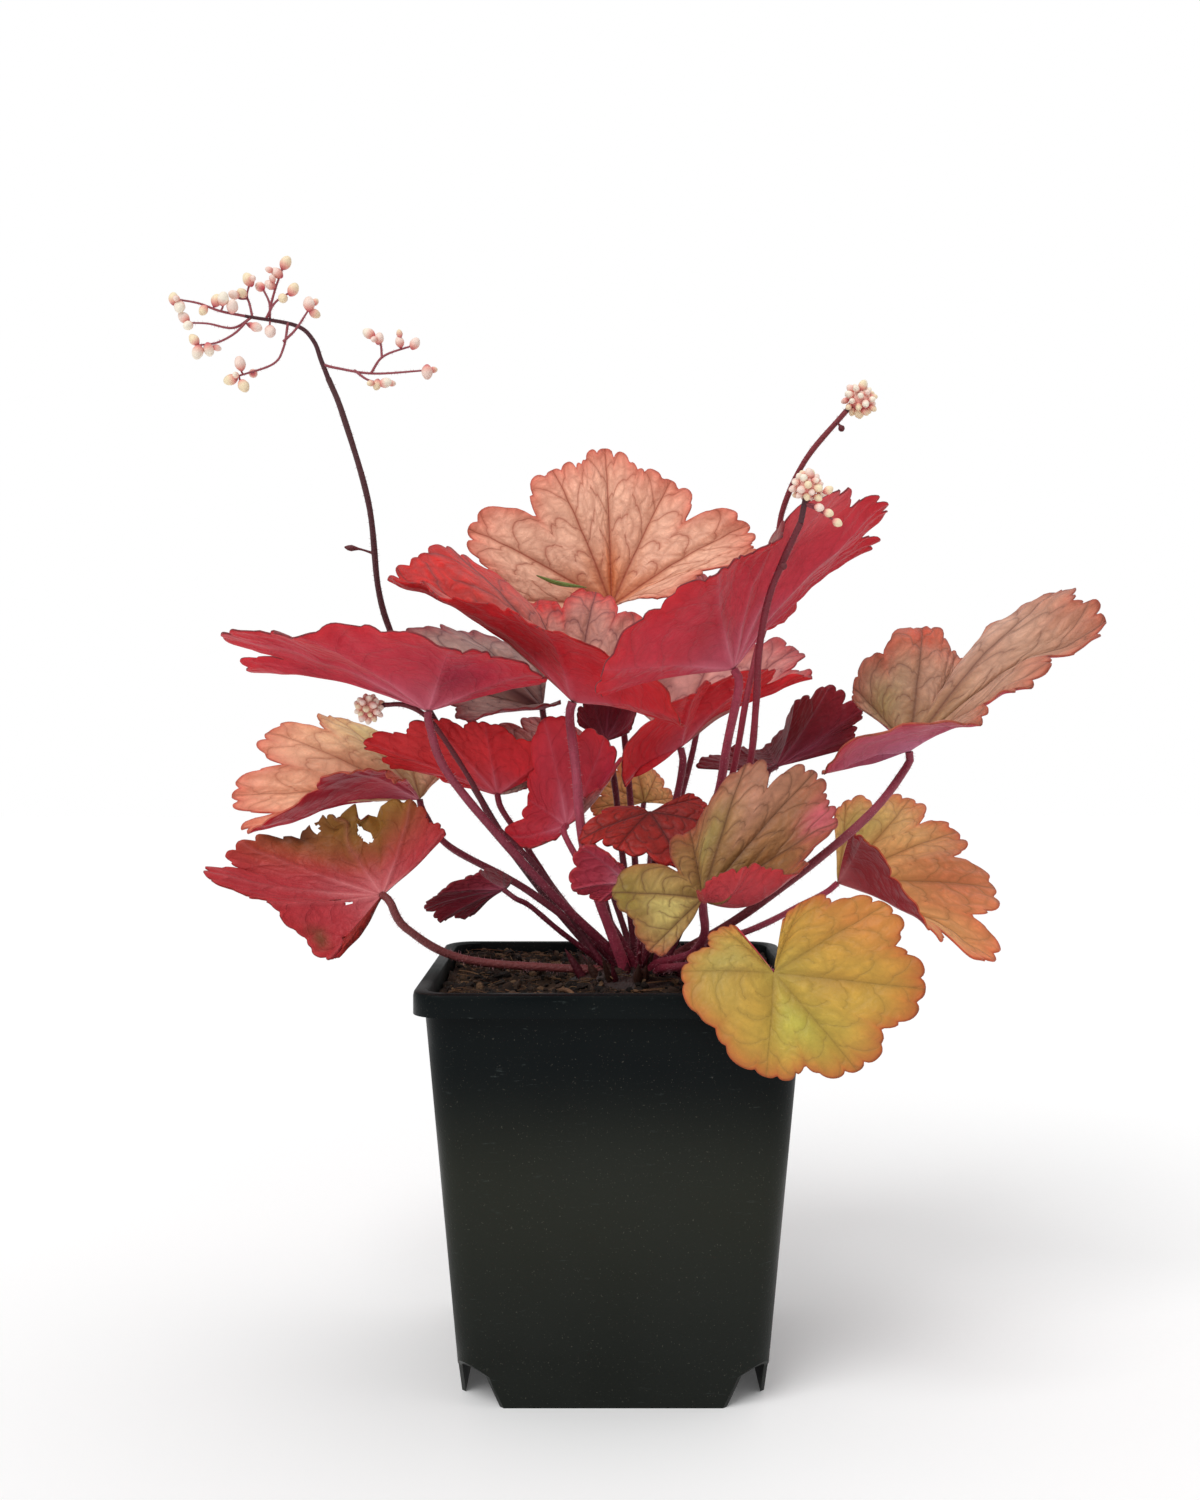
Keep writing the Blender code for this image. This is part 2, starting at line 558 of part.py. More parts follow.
def bud_turn(direction):
    return Vector(direction).to_track_quat("Z", "Y").to_matrix().to_4x4()


def open_spray(group):
    """The loose spray at the tip of the tall stalk, its twigs and buds fused."""
    paint = material("bud_colour", BUD, 0.45)
    first = through(SPRAY_TWIGS[0], 7)
    first[0] += unit(first[1] - first[0]) * GAP
    spray = tube("flower_spray_tall", first, 0.85, group, paint, tip=0.8)
    extra = new_collection("spray")
    for k, twig in enumerate(SPRAY_TWIGS[1:]):
        tube("twig", through(twig, 4), 0.5, extra, sides=4)
    twigs = np.vstack([through(t, 40) for t in SPRAY_TWIGS])
    for bud in SPRAY_BUDS:
        place = np.array(bud, float)
        near = twigs[np.argmin(np.linalg.norm(twigs - place, axis=1))]
        away = unit(place - near + np.array([0, 0, 0.4]))
        if np.linalg.norm(place - near) > 1.0:
            tube("pedicel", np.array([near - away * 0.3, place]), 0.42, extra, sides=4)
        lump("bud", place, BUD_SIZE, extra, rings=3, segments=5, turn=bud_turn(away))
    join_group(spray, extra)
    return spray


def flower_head(name, group):
    """A closed head: a core with buds standing out of it all round, and a short neck."""
    stalk, centre, half, buds, loose = HEADS[name]
    before, end = flower_route(stalk)[1][-2:]
    way = unit(end - before)
    middle = np.array(centre)
    paint = material("bud_colour", BUD, 0.45)
    head = lump(name, centre, np.array(half) * 0.78, group, paint, 5, 8)
    extra = new_collection("head")
    tube("neck", np.array([end + way * GAP, end + way * NECK, middle]), 0.8, extra)
    for k in range(buds):
        height = 1 - 2 * (k + 0.5) / buds
        swing = k * math.pi * (3 - math.sqrt(5))
        wide = math.sqrt(1 - height * height)
        out = np.array([wide * math.cos(swing), wide * math.sin(swing), height])
        place = middle + out * np.array(half)
        if np.linalg.norm(place - end) < 2 * HEAD_BUD_SIZE[2] + GAP:
            continue
        lump("bud", place, HEAD_BUD_SIZE, extra, rings=3, segments=5, turn=bud_turn(out))
    for bud in loose:
        place = np.array(bud, float)
        root = (end + middle) / 2
        tube("thread", np.array([root, place]), 0.45, extra, sides=4)
        lump("bud", place, HEAD_BUD_SIZE, extra, rings=3, segments=5,
             turn=bud_turn(unit(place - root)))
    join_group(head, extra)
    return head


# Pot and soil

def square_ring(half, corner, z, steps=2):
    """Points of a square with rounded corners, anticlockwise from above."""
    ring = []
    for quarter in range(4):
        for k in range(steps + 1):
            a = math.radians(90 * (quarter + k / steps))
            cx, cy = [(1, 1), (-1, 1), (-1, -1), (1, -1)][quarter]
            ring.append(Vector((cx * (half - corner) + corner * math.cos(a),
                                cy * (half - corner) + corner * math.sin(a), z)) * MM)
    return ring


def loft(rings, cap_first=False):
    bm = bmesh.new()
    rows = [[bm.verts.new(p) for p in ring] for ring in rings]
    for low, high in zip(rows, rows[1:]):
        for k in range(len(low)):
            j = (k + 1) % len(low)
            bm.faces.new((low[k], low[j], high[j], high[k]))
    if cap_first:
        bm.faces.new(list(reversed(rows[0])))
    return bm


def wall_half(z):
    share = (z - FLOOR_Z) / (POT_HEIGHT - RIM_DROP - FLOOR_Z)
    return WALL_FOOT_HALF + (WALL_TOP_HALF - WALL_FOOT_HALF) * share


def corner_cutters():
    """Blocks that open the pot's four bottom corners, leaving a foot under each side."""
    group = new_collection("corner_cutters")
    for quarter in range(4):
        bm = bmesh.new()
        bmesh.ops.create_cube(bm, size=1.0)
        bmesh.ops.subdivide_edges(bm, edges=[e for e in bm.edges
                                             if abs(e.verts[0].co.z - e.verts[1].co.z) > 0.5], cuts=1)
        for v in bm.verts:
            level, across = CORNER_OPENING[int(round((v.co.z + 0.5) * 2))]
            reach = across / math.sqrt(2) if v.co.x < 0 else BEYOND
            v.co = Vector((reach, v.co.y * BEYOND, level)) * MM
        bm.transform(Matrix.Rotation(math.radians(45 + 90 * quarter), 4, "Z"))
        cutter = new_object("corner_cutter", finish_mesh("corner_cutter", bm), group)
        cutter.hide_render = True
        cutter.display_type = "WIRE"
    return group


def drain_cutters():
    group = new_collection("drain_cutters")
    for x, y in DRAINS:
        bm = bmesh.new()
        bmesh.ops.create_cone(bm, cap_ends=True, segments=10, radius1=DRAIN_RADIUS * MM,
                              radius2=DRAIN_RADIUS * MM, depth=2 * DRAIN_RADIUS * MM)
        bm.transform(Matrix.Translation(Vector((x, y, FLOOR_Z)) * MM))
        cutter = new_object("drain_cutter", finish_mesh("drain_cutter", bm), group)
        cutter.hide_render = True
        cutter.display_type = "WIRE"
    return group


def pot(group):
    """A thin-walled tapered square pot with a turned-down rim and four feet."""
    paint = material("pot_black_plastic", POT_BLACK, 0.45)
    inset = WALL / 2
    lip = RIM_HALF - inset
    top = POT_HEIGHT - inset
    bm = loft([
        square_ring(WALL_FOOT_HALF - inset, POT_CORNER, FLOOR_Z + inset),
        square_ring(WALL_TOP_HALF - inset, POT_CORNER, POT_HEIGHT - RIM_DROP),
        square_ring(WALL_TOP_HALF - inset + 0.4, POT_CORNER, top),
        square_ring(lip - 0.3, POT_CORNER, top),
        square_ring(lip, POT_CORNER, top - 0.5),
        square_ring(lip, POT_CORNER, POT_HEIGHT - RIM_DROP),
    ], cap_first=True)
    body = new_object("pot", finish_mesh("pot", bm), group, paint)
    shell = body.modifiers.new("wall", "SOLIDIFY")
    shell.thickness = WALL * MM
    shell.offset = 0.0
    shell.use_even_offset = True
    apply_modifiers(body)

    feet_group = new_collection("feet")
    bm = loft([square_ring(FOOT_HALF - inset, POT_CORNER, 0.0),
               square_ring(WALL_FOOT_HALF - inset, POT_CORNER, FLOOR_Z + 0.8)])
    feet = new_object("feet", finish_mesh("feet", bm), feet_group)
    shell = feet.modifiers.new("wall", "SOLIDIFY")
    shell.thickness = WALL * MM
    shell.offset = 0.0
    apply_modifiers(feet)
    for v in feet.data.vertices:
        if v.co.z < 0.3 * MM:
            v.co.z = 0.0
    join_group(feet, corner_cutters(), "DIFFERENCE")
    join_group(body, feet_group)
    join_group(body, drain_cutters(), "DIFFERENCE")
    return body


def soil_height(x, y):
    """Lumpy peat: a few waves of different lengths, flat near the pot wall."""
    wave = (math.sin(x * 0.31 + 1.3) * math.cos(y * 0.27 - 0.4)
            + 0.7 * math.sin(x * 0.62 - y * 0.55 + 2.0)
            + 0.5 * math.sin(y * 0.93 + x * 0.21))
    rise = 1.6 * math.exp(-((x - 6) ** 2 + y ** 2) / 900)
    edge = min(1.0, (48 - max(abs(x), abs(y))) / 12)
    return SOIL_TOP + 0.75 * wave * max(0.0, edge) + rise


def soil(group):
    """The filling of peat, with plain holes for the crown and the bits sunk in it."""
    paint = material("peat", PEAT, 0.95)
    bm = bmesh.new()
    bmesh.ops.create_grid(bm, x_segments=SOIL_CELLS, y_segments=SOIL_CELLS, size=1.0)
    half = wall_half(SOIL_TOP) - WALL - GAP - 0.2
    for v in bm.verts:
        x, y = v.co.x * half, v.co.y * half
        over = max(abs(v.co.x), abs(v.co.y))
        if abs(v.co.x) > 0.99 and abs(v.co.y) > 0.99:
            x *= 1 - SOIL_CORNER / half
            y *= 1 - SOIL_CORNER / half
        v.co = Vector((x, y, soil_height(x, y) if over < 0.99 else SOIL_TOP - 0.8)) * MM
    rim = [e for e in bm.edges if e.is_boundary]
    low = wall_half(FLOOR_Z + WALL + GAP) - WALL - GAP - 0.4
    grown = bmesh.ops.extrude_edge_only(bm, edges=rim)
    new = [g for g in grown["geom"] if isinstance(g, bmesh.types.BMVert)]
    for v in new:
        v.co = Vector((v.co.x * low / half, v.co.y * low / half, (FLOOR_Z + WALL + GAP) * MM))
    bmesh.ops.contextual_create(bm, geom=[e for e in bm.edges if e.is_boundary])
    body = new_object("soil", finish_mesh("soil", bm), group, paint)
    holes = new_collection("soil_holes")
    lump("crown_hole", CROWN_CENTRE, [h + GAP + 0.1 for h in CROWN_SIZE], holes,
         rings=6, segments=12)
    for name, (radius, points) in DEAD_STALKS.items():
        tube(name + "_hole", through(points, 6), radius + GAP, holes)
    lump("pebble_hole", PEBBLE_CENTRE, [h + GAP for h in PEBBLE_SIZE], holes, rings=5, segments=8)
    for cutter in holes.objects:
        cutter.hide_render = True
        cutter.display_type = "WIRE"
    join_group(body, holes, "DIFFERENCE")
    return body


def litter(group):
    """Two dead stalks and a pebble, half sunk in the soil."""
    straw = material("dead_stalk", (0.30, 0.17, 0.08), 0.8)
    for name, (radius, points) in DEAD_STALKS.items():
        route = through(points, 6)
        route[0] += unit(route[1] - route[0]) * GAP
        route[-1] += unit(route[-2] - route[-1]) * GAP
        tube(name, route, radius, group, straw)
    lump("pebble", PEBBLE_CENTRE, PEBBLE_SIZE, group, material("pebble", (0.6, 0.45, 0.3), 0.7),
         5, 8)


def build():
    clear_scene()
    plant = new_collection("heuchera_in_pot")
    pot(plant)
    soil(plant)
    litter(plant)
    crown(plant)
    for name, leaf in LEAVES.items():
        leaf_blade(name, leaf, plant)
    for name in FLOWER_STALKS:
        flower_stalk(name, plant)
    open_spray(plant)
    for name in HEADS:
        flower_head(name, plant)
    for piece in plant.objects:
        piece.location = Vector(POT_PLACE) * MM


build()
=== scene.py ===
"""Heuchera in a square nursery pot, dressed: veined leaves, hairy stalks, buds, peat, pot."""
import math
import random

import bmesh
import bpy
import numpy as np
from mathutils import Matrix, Vector, noise


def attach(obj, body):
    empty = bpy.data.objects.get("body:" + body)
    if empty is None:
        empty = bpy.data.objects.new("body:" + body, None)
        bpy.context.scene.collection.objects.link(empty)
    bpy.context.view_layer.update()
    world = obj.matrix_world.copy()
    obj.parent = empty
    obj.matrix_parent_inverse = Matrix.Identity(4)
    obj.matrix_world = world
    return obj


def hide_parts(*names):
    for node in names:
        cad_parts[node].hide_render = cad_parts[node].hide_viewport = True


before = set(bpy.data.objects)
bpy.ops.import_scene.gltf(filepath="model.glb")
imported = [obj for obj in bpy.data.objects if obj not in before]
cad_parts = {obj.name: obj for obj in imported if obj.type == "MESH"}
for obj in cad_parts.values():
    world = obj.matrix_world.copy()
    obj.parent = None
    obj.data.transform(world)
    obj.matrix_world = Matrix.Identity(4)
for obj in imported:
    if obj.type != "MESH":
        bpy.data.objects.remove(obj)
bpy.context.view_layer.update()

MM = 0.001
POT_PLACE = (-9.2, 2.7, 0.0)  # the middle of the pot, from the origin under the whole plant
rng = random.Random(7)

# The camera, from the pot's rim in the photograph
IMAGE = (1200, 1500)
FOCAL_PIXELS = 1608.0
SENSOR = 36.0
CAMERA_PLACE = (-3.8, -495.0, 192.0)
HORIZON_ROW = 728.0

# The pot
POT_HEIGHT = 119.0
RIM_HALF = 56.0
WALL = 1.2
RIM_DROP = 6.5
WALL_TOP_HALF = 52.9
WALL_FOOT_HALF = 44.9
FLOOR_Z = 15.0
FOOT_HALF = 43.8
POT_CORNER = 7.0
CORNER_OPENING = ((-1.0, 74.2), (9.0, 79.4), (14.6, 87.8))   # height, and |x| + |y| at its edge
DRAINS = ((22, 22), (-22, 22), (-22, -22), (22, -22), (0, 0))
DRAIN_RADIUS = 4

# The peat and what lies on it
SOIL_TOP = 112.0
SOIL_GAP = 0.3               # between the peat and the pot
SOIL_STEPS = 150
BANK = 3.6                   # how far the peat is drawn up against the rim at the back
LITTER_REACH = 49.0          # from the middle of the pot to the last crumb
FIBRE_REACH = 48.6
CRUMB_COUNT = 2600
CRUMB_SIZES = (0.35, 0.5, 0.7, 1.0, 1.5)
FIBRE_COUNT = 900
LONG_FIBRE = 9

# The crown
CROWN_CENTRE = (6.0, 0.0, 112.0)
CROWN_SIZE = (19.0, 13.0, 7.5)
SHEATHS = 34                 # dry feet of old stalks that stand round it
GOLDEN_ANGLE = math.pi * (3 - math.sqrt(5))

# The leaf blades. Shares are of a lobe's length, and the waves are mm on a middling leaf.
BLADE = 0.55                 # thickness
LARGE_LEAF = 36              # mm to the longest tip, past which a leaf has more teeth and steps
MIDDLING_LEAF = 60
LOBE_SPAN = 34.0             # mm from lobe to lobe along the margin of a middling leaf
LOBE_STEPS = 34
LOBE_NOTCH = 0.22            # depth of the gap between two lobes
LOBE_BLUNT = 4.0
TOOTH_DEPTH = 0.04
BLADE_ARCH = 0.06            # how far a lobe bows up between its root and its tip
SINUS = 0.42                 # how far the blade goes on past its end lobes, in lobes
GROOVE_DEPTH = 0.5           # the valley over each rib
GROOVE_WIDTH = 2.2
MARGIN_RIPPLE = 0.3
LOBE_WAVE = 0.9
BLADE_DRIFT = 3.4
QUILTING = 0.8
FAN = 5.6                    # radians that a whole blade opens when it is laid flat for its veins
DRY_LOBE = 1.9               # the lobe of the withered leaf that has shrivelled
SHAKES = ((0, 0, 0), (31, 7, 5), (3, 57, 11))   # where its crumple's noise is read, for x, y and z
SKIN_RELIEF = 0.0006         # depth of the finest relief in the materials, in metres

# The veins, in mm on a blade laid flat
RIB_LENGTH = 50.0
VEIN_WANDER = 0.13           # scale of the noise that bends them
VEIN_SWAY = 5.0              # how far it bends them
SIDE_VEIN_STEP = 10.5
SIDE_VEIN_SLANT = 1.5
NET_SCALES = (0.21, 0.52)

# The stalks: rings along each and points round it
STALK_ROWS, STALK_SIDES = 44, 12
FLOWER_STALK_ROWS, STUB_ROWS = 70, 14
STUB_END = 15                # the ring up to which a flower stalk's foot belongs to the crown
TWIG_ROWS = 26
HAIR_HALF = 0.055            # half the width of a hair's foot


def srgb(red, green, blue):
    """A colour given as 0 to 255 on screen, as the linear values that Blender takes."""
    linear = []
    for value in (red, green, blue):
        v = value / 255
        linear.append(v / 12.92 if v <= 0.04045 else ((v + 0.055) / 1.055) ** 2.4)
    return tuple(linear)


# Leaf faces: the colour at the heart, halfway out, at the rim and along the veins.
PEACH = (srgb(230, 146, 94), srgb(244, 190, 162), srgb(224, 122, 100), srgb(172, 86, 62))
PEACH_CREAM = (srgb(218, 202, 144), srgb(240, 184, 150), srgb(220, 120, 98), srgb(176, 104, 76))
SALMON_GREY = (srgb(190, 130, 112), srgb(200, 140, 126), srgb(212, 36, 36), srgb(120, 64, 64))
GREY_PURPLE = (srgb(142, 106, 100), srgb(176, 142, 132), srgb(150, 52, 60), srgb(92, 54, 58))
PINK_GREY = (srgb(190, 128, 124), srgb(214, 150, 142), srgb(186, 54, 60), srgb(140, 70, 74))
OLIVE = (srgb(168, 142, 80), srgb(150, 104, 60), srgb(162, 78, 54), srgb(98, 62, 38))
OLIVE_PINK = (srgb(172, 142, 92), srgb(196, 152, 126), srgb(192, 104, 80), srgb(122, 80, 62))
AMBER = (srgb(214, 190, 106), srgb(240, 188, 120), srgb(230, 118, 78), srgb(164, 114, 66))
YELLOW = (srgb(184, 164, 74), srgb(190, 148, 62), srgb(186, 92, 48), srgb(136, 110, 50))
BRICK = (srgb(124, 30, 24), srgb(146, 32, 24), srgb(174, 34, 28), srgb(84, 18, 16))
DARK_TOP = (srgb(92, 54, 46), srgb(104, 44, 46), srgb(122, 32, 42), srgb(56, 24, 26))
CRIMSON = (srgb(184, 64, 90), srgb(204, 50, 68), srgb(214, 38, 50), srgb(214, 112, 130))
SCARLET = (srgb(188, 44, 64), srgb(212, 34, 46), srgb(224, 38, 42), srgb(206, 92, 106))
ROSE = (srgb(200, 92, 116), srgb(206, 70, 92), srgb(206, 58, 72), srgb(222, 140, 158))
MAUVE = (srgb(184, 96, 128), srgb(186, 82, 108), srgb(194, 48, 62), srgb(204, 132, 160))
MAROON = (srgb(120, 36, 56), srgb(126, 26, 44), srgb(138, 26, 40), srgb(156, 72, 92))
RUST = (srgb(180, 76, 84), srgb(188, 58, 66), srgb(190, 48, 54), srgb(212, 120, 122))

# Each leaf: the junction with the stalk, the tips of the lobes round the blade, its two faces'
# colours, and touches of other colours as (face, lobe, share outward, size, colour); the touch on
# leaf_left_red is painted light. Where it differs from most: notch, the depth of its gaps, for all
# or one by one; arch, the bow of each lobe; sinus, how far it goes on past its end lobes; veined,
# the strength of its veins; and dry.
LEAVES = {
    "leaf_top_peach": dict(
        junction=(0, 36, 232), upper=PEACH, under=CRIMSON,
        notch=(0.12, 0.3, 0.08, 0.08, 0.28, 0.06, 0.12),
        tips=[(-39, 30, 234), (-47, 34, 258), (-19.5, 42, 278.5), (-2, 48, 287),
              (20, 44, 275), (45, 34, 259), (46, 24, 246), (18, 14, 235)],
        touches=[("upper", 3.0, 0.12, 0.5, srgb(226, 120, 52))]),
    "leaf_upper_left_funnel": dict(
        junction=(-12, -8, 200), upper=SALMON_GREY, under=SCARLET,
        notch=(0.22, 0.15, 0.12, 0.03, 0.1, 0.25, 0.2),
        tips=[(20, -28, 196), (-21, -38, 222), (-50, -34, 233), (-66, -16, 238),
              (-49, 0, 249), (-27, 12, 233), (-5, 16, 236), (12, 8, 224)],
        touches=[("upper", 3.3, 0.9, 1.1, srgb(206, 36, 36)),
                 ("upper", 4.0, 1.0, 0.9, srgb(212, 40, 34)),
                 ("upper", 5.2, 0.95, 0.4, srgb(196, 36, 40))]),
    "leaf_left_crimson": dict(
        junction=(-55, -16, 197), upper=GREY_PURPLE, under=CRIMSON,
        notch=(0.12, 0.1, 0.1, 0.3, 0.15, 0.15),
        tips=[(-21, -30, 208), (-45, -46, 216), (-89, -40, 218.5), (-114, -26, 220),
              (-110, -8, 210), (-81, 10, 215), (-54, 8, 214)],
        touches=[("under", 0.6, 0.5, 0.6, srgb(178, 44, 70))]),
    "leaf_right_crimson": dict(
        junction=(35, -28, 209), upper=GREY_PURPLE, under=CRIMSON,
        notch=(0.12, 0.14, 0.12, 0.3, 0.08, 0.12),
        tips=[(54, -8, 228), (77, -8, 246), (79, -26, 258), (62, -44, 259),
              (44, -53, 246), (27, -62, 235), (-3, -54, 208)],
        touches=[("under", 3.0, 0.9, 0.4, srgb(216, 90, 96))]),
    "leaf_centre_cup": dict(
        junction=(21, 2, 186), upper=PINK_GREY, under=SCARLET,
        tips=[(5, 24, 208), (36, 34, 224), (60, 28, 219), (62, 10, 209),
              (47, 0, 210), (25, -8, 203), (2, -4, 177)]),
    "leaf_far_right_olive": dict(
        junction=(89, -12, 185), upper=OLIVE_PINK, under=MAUVE, veined=0.9,
        notch=(0.2, 0.06, 0.12, 0.1, 0.15, 0.15, 0.2),
        tips=[(75, 6, 205), (99, 16, 226), (112, 13, 215), (139, 8, 235),
              (149, -8, 225), (121, -26, 205), (104, -34, 196), (62, -20, 180)],
        touches=[("upper", 1.0, 0.95, 0.5, srgb(206, 84, 56)),
                 ("upper", 2.6, 0.7, 0.6, srgb(206, 164, 142)),
                 ("upper", 0.2, 0.5, 0.5, srgb(176, 154, 104)),
                 ("under", 3.6, 0.8, 0.6, srgb(198, 48, 66))]),
    "leaf_right_dark": dict(
        junction=(55, 40, 179), upper=DARK_TOP, under=MAROON, notch=0.1,
        tips=[(80, 34, 189), (82, 30, 198), (73, 36, 206), (62, 46, 201),
              (53, 56, 186), (42, 52, 185), (30, 44, 182)],
        touches=[("under", 0.5, 0.4, 0.6, srgb(150, 60, 84)),
                 ("under", 2.6, 0.8, 0.9, srgb(138, 30, 38))]),
    "leaf_lower_right_amber": dict(
        junction=(73, 24, 142), upper=AMBER, under=RUST, veined=0.75,
        tips=[(77, 34, 168), (101, 42, 169), (115, 38, 158), (124, 24, 140),
              (120, 8, 119), (96, -4, 132), (79, 2, 159)],
        touches=[("upper", 0.3, 0.6, 0.7, srgb(204, 186, 104)),
                 ("upper", 3.0, 0.8, 0.8, srgb(228, 138, 92))]),
    "leaf_front_olive": dict(
        junction=(25, -44, 144), upper=OLIVE, under=RUST, veined=0.85,
        notch=(0.1, 0.6, 0.1, 0.25, 0.06, 0.2, 0.05, 0.05),
        arch=(0.06, 0.06, 0.06, 0.06, 0.06, 0.0, -0.16, -0.2, -0.16),
        tips=[(10, -58, 132), (0, -52, 147), (22, -36, 163), (38, -34, 182),
              (58, -34, 180), (63, -42, 166), (49, -58, 152.6), (35, -61, 154.4),
              (24, -55, 148)],
        touches=[("upper", 0.5, 0.5, 0.8, srgb(204, 188, 110)),
                 ("upper", 0.9, 0.9, 0.5, srgb(140, 122, 52)),
                 ("upper", 3.4, 0.8, 0.8, srgb(184, 130, 104)),
                 ("upper", 4.8, 0.9, 0.35, srgb(206, 96, 108)),
                 ("upper", 2.6, 0.5, 0.5, srgb(158, 140, 78))]),
    "leaf_over_rim_yellow": dict(
        junction=(43, -63, 126), upper=YELLOW, under=RUST, notch=0.16, veined=0.5,
        tips=[(51, -60, 145), (73, -66, 145), (82, -72, 123), (64, -74, 102),
              (40, -72, 100), (18, -66, 127), (29, -60, 138)],
        touches=[("upper", 1.0, 0.8, 0.5, srgb(204, 132, 66)),
                 ("upper", 3.4, 0.5, 0.7, srgb(180, 170, 72)),
                 ("upper", 5.3, 0.6, 0.7, srgb(180, 160, 84))]),
    "leaf_left_peach": dict(
        junction=(-62, 24, 169), upper=PEACH_CREAM, under=CRIMSON, sinus=0.3, veined=0.8,
        tips=[(-67, 2, 177), (-80, -4, 179), (-112, 0, 160), (-120, 12, 171),
              (-111, 24, 191), (-91, 34, 197), (-69, 42, 186), (-56, 34, 180)],
        touches=[("upper", 5.4, 0.7, 0.9, srgb(214, 198, 134)),
                 ("under", 1.2, 0.8, 0.6, srgb(150, 30, 48))]),
    "leaf_lower_left_withered": dict(
        junction=(-70, -6, 141), upper=BRICK, under=RUST, sinus=0.1, dry=True,
        notch=(0.1, 0.2, 0.12, 0.16, 0.1, 0.12, 0.05),
        tips=[(-51, -2, 160), (-62, 2, 169), (-86, 4, 161), (-114, -4, 157),
              (-123, -12, 148), (-102, -18, 139), (-84, -20, 123), (-80, -16, 129)],
        touches=[("under", 1.85, 0.9, 0.95, srgb(146, 100, 36)),
                 ("under", 1.85, 0.95, 0.7, srgb(134, 92, 32)),
                 ("under", 1.3, 1.0, 0.3, srgb(160, 116, 48)),
                 ("under", 2.5, 1.0, 0.3, srgb(96, 52, 28)),
                 ("under", 5.6, 0.85, 0.2, srgb(128, 70, 46)),
                 ("upper", 1.95, 0.9, 0.8, srgb(112, 76, 34))]),
    "leaf_left_red": dict(
        junction=(-36, 10, 171), upper=GREY_PURPLE, under=SCARLET, notch=0.15,
        tips=[(-20, 8, 183), (-40, 8, 194), (-57, 6, 195), (-77, 4, 188),
              (-69, 10, 180), (-50, 14, 174), (-26, 12, 174)],
        # painted light: a brighter scarlet patch over most of the underside, lifting it where it
        # lies in shade
        touches=[("under", 2.6, 0.7, 1.4, srgb(232, 58, 62))]),
    "leaf_centre_red": dict(
        junction=(-14, -2, 162), upper=PINK_GREY, under=CRIMSON, notch=0.15,
        tips=[(-7, -12, 170), (2, -13, 181), (-2, -4, 189), (-21, 2, 195),
              (-26, 4, 170), (-34, 3, 157), (-20, -7, 157)],
        touches=[("under", 1.0, 0.8, 0.6, srgb(176, 30, 70))]),
    "leaf_left_grey": dict(
        junction=(-22, 14, 198), upper=GREY_PURPLE, under=MAROON, notch=0.15,
        tips=[(-17, 0, 200), (-44, 4, 195), (-59, 26, 204), (-70, 34, 222.5),
              (-51, 44, 225), (-27, 46, 220)],
        touches=[("under", 1.0, 0.6, 0.8, srgb(150, 80, 92))]),
    "leaf_front_brick": dict(
        junction=(11, -20, 167), upper=BRICK, under=MAROON, notch=0.15,
        tips=[(26, -18, 171), (31, -24, 163), (20, -32, 152), (1, -30, 157),
              (-10, -25, 159), (3, -18, 169)]),
    "leaf_small_maroon": dict(
        junction=(-33, -8, 143), upper=DARK_TOP, under=MAROON, notch=0.1,
        tips=[(-34, 4, 147), (-41, -10, 148), (-52, -14, 143), (-57, -10, 138),
              (-53, -4, 133), (-46, 2, 133)]),
    "leaf_small_pink": dict(
        junction=(4, -27, 147), upper=PINK_GREY, under=ROSE, notch=0.12,
        tips=[(1, -34, 154), (-9, -33, 158), (-12, -26, 145), (-4, -22, 141)]),
    "leaf_back_amber": dict(
        junction=(11, 46, 167), upper=AMBER, under=MAROON,
        tips=[(-7, 42, 165), (-6, 46, 174), (7, 52, 183), (16, 54, 177), (21, 50, 168)]),
    "leaf_back_pink": dict(
        junction=(34, 50, 217), upper=PINK_GREY, under=SCARLET,
        tips=[(5, 38, 216), (18, 42, 231), (23, 50, 240), (31, 58, 245), (45, 68, 240)]),
    "leaf_back_left": dict(
        junction=(-17, 42, 178), upper=PINK_GREY, under=CRIMSON,
        tips=[(-37, 34, 181), (-40, 40, 191), (-26, 50, 196), (-11, 58, 191)]),
    "leaf_centre_dark": dict(
        junction=(-2, 8, 188), upper=DARK_TOP, under=MAROON, notch=0.12,
        tips=[(7, 2, 194), (6, 11, 205), (0, 14, 211), (-7, 10, 204), (-11, 4, 196)]),
}

# Holes torn in the withered leaf: lobe, share outward, and half widths of both
TEARS = ((1.72, 0.74, 0.12, 0.09), (2.3, 0.93, 0.05, 0.06), (4.9, 0.4, 0.07, 0.05),
         (5.15, 0.33, 0.06, 0.03))

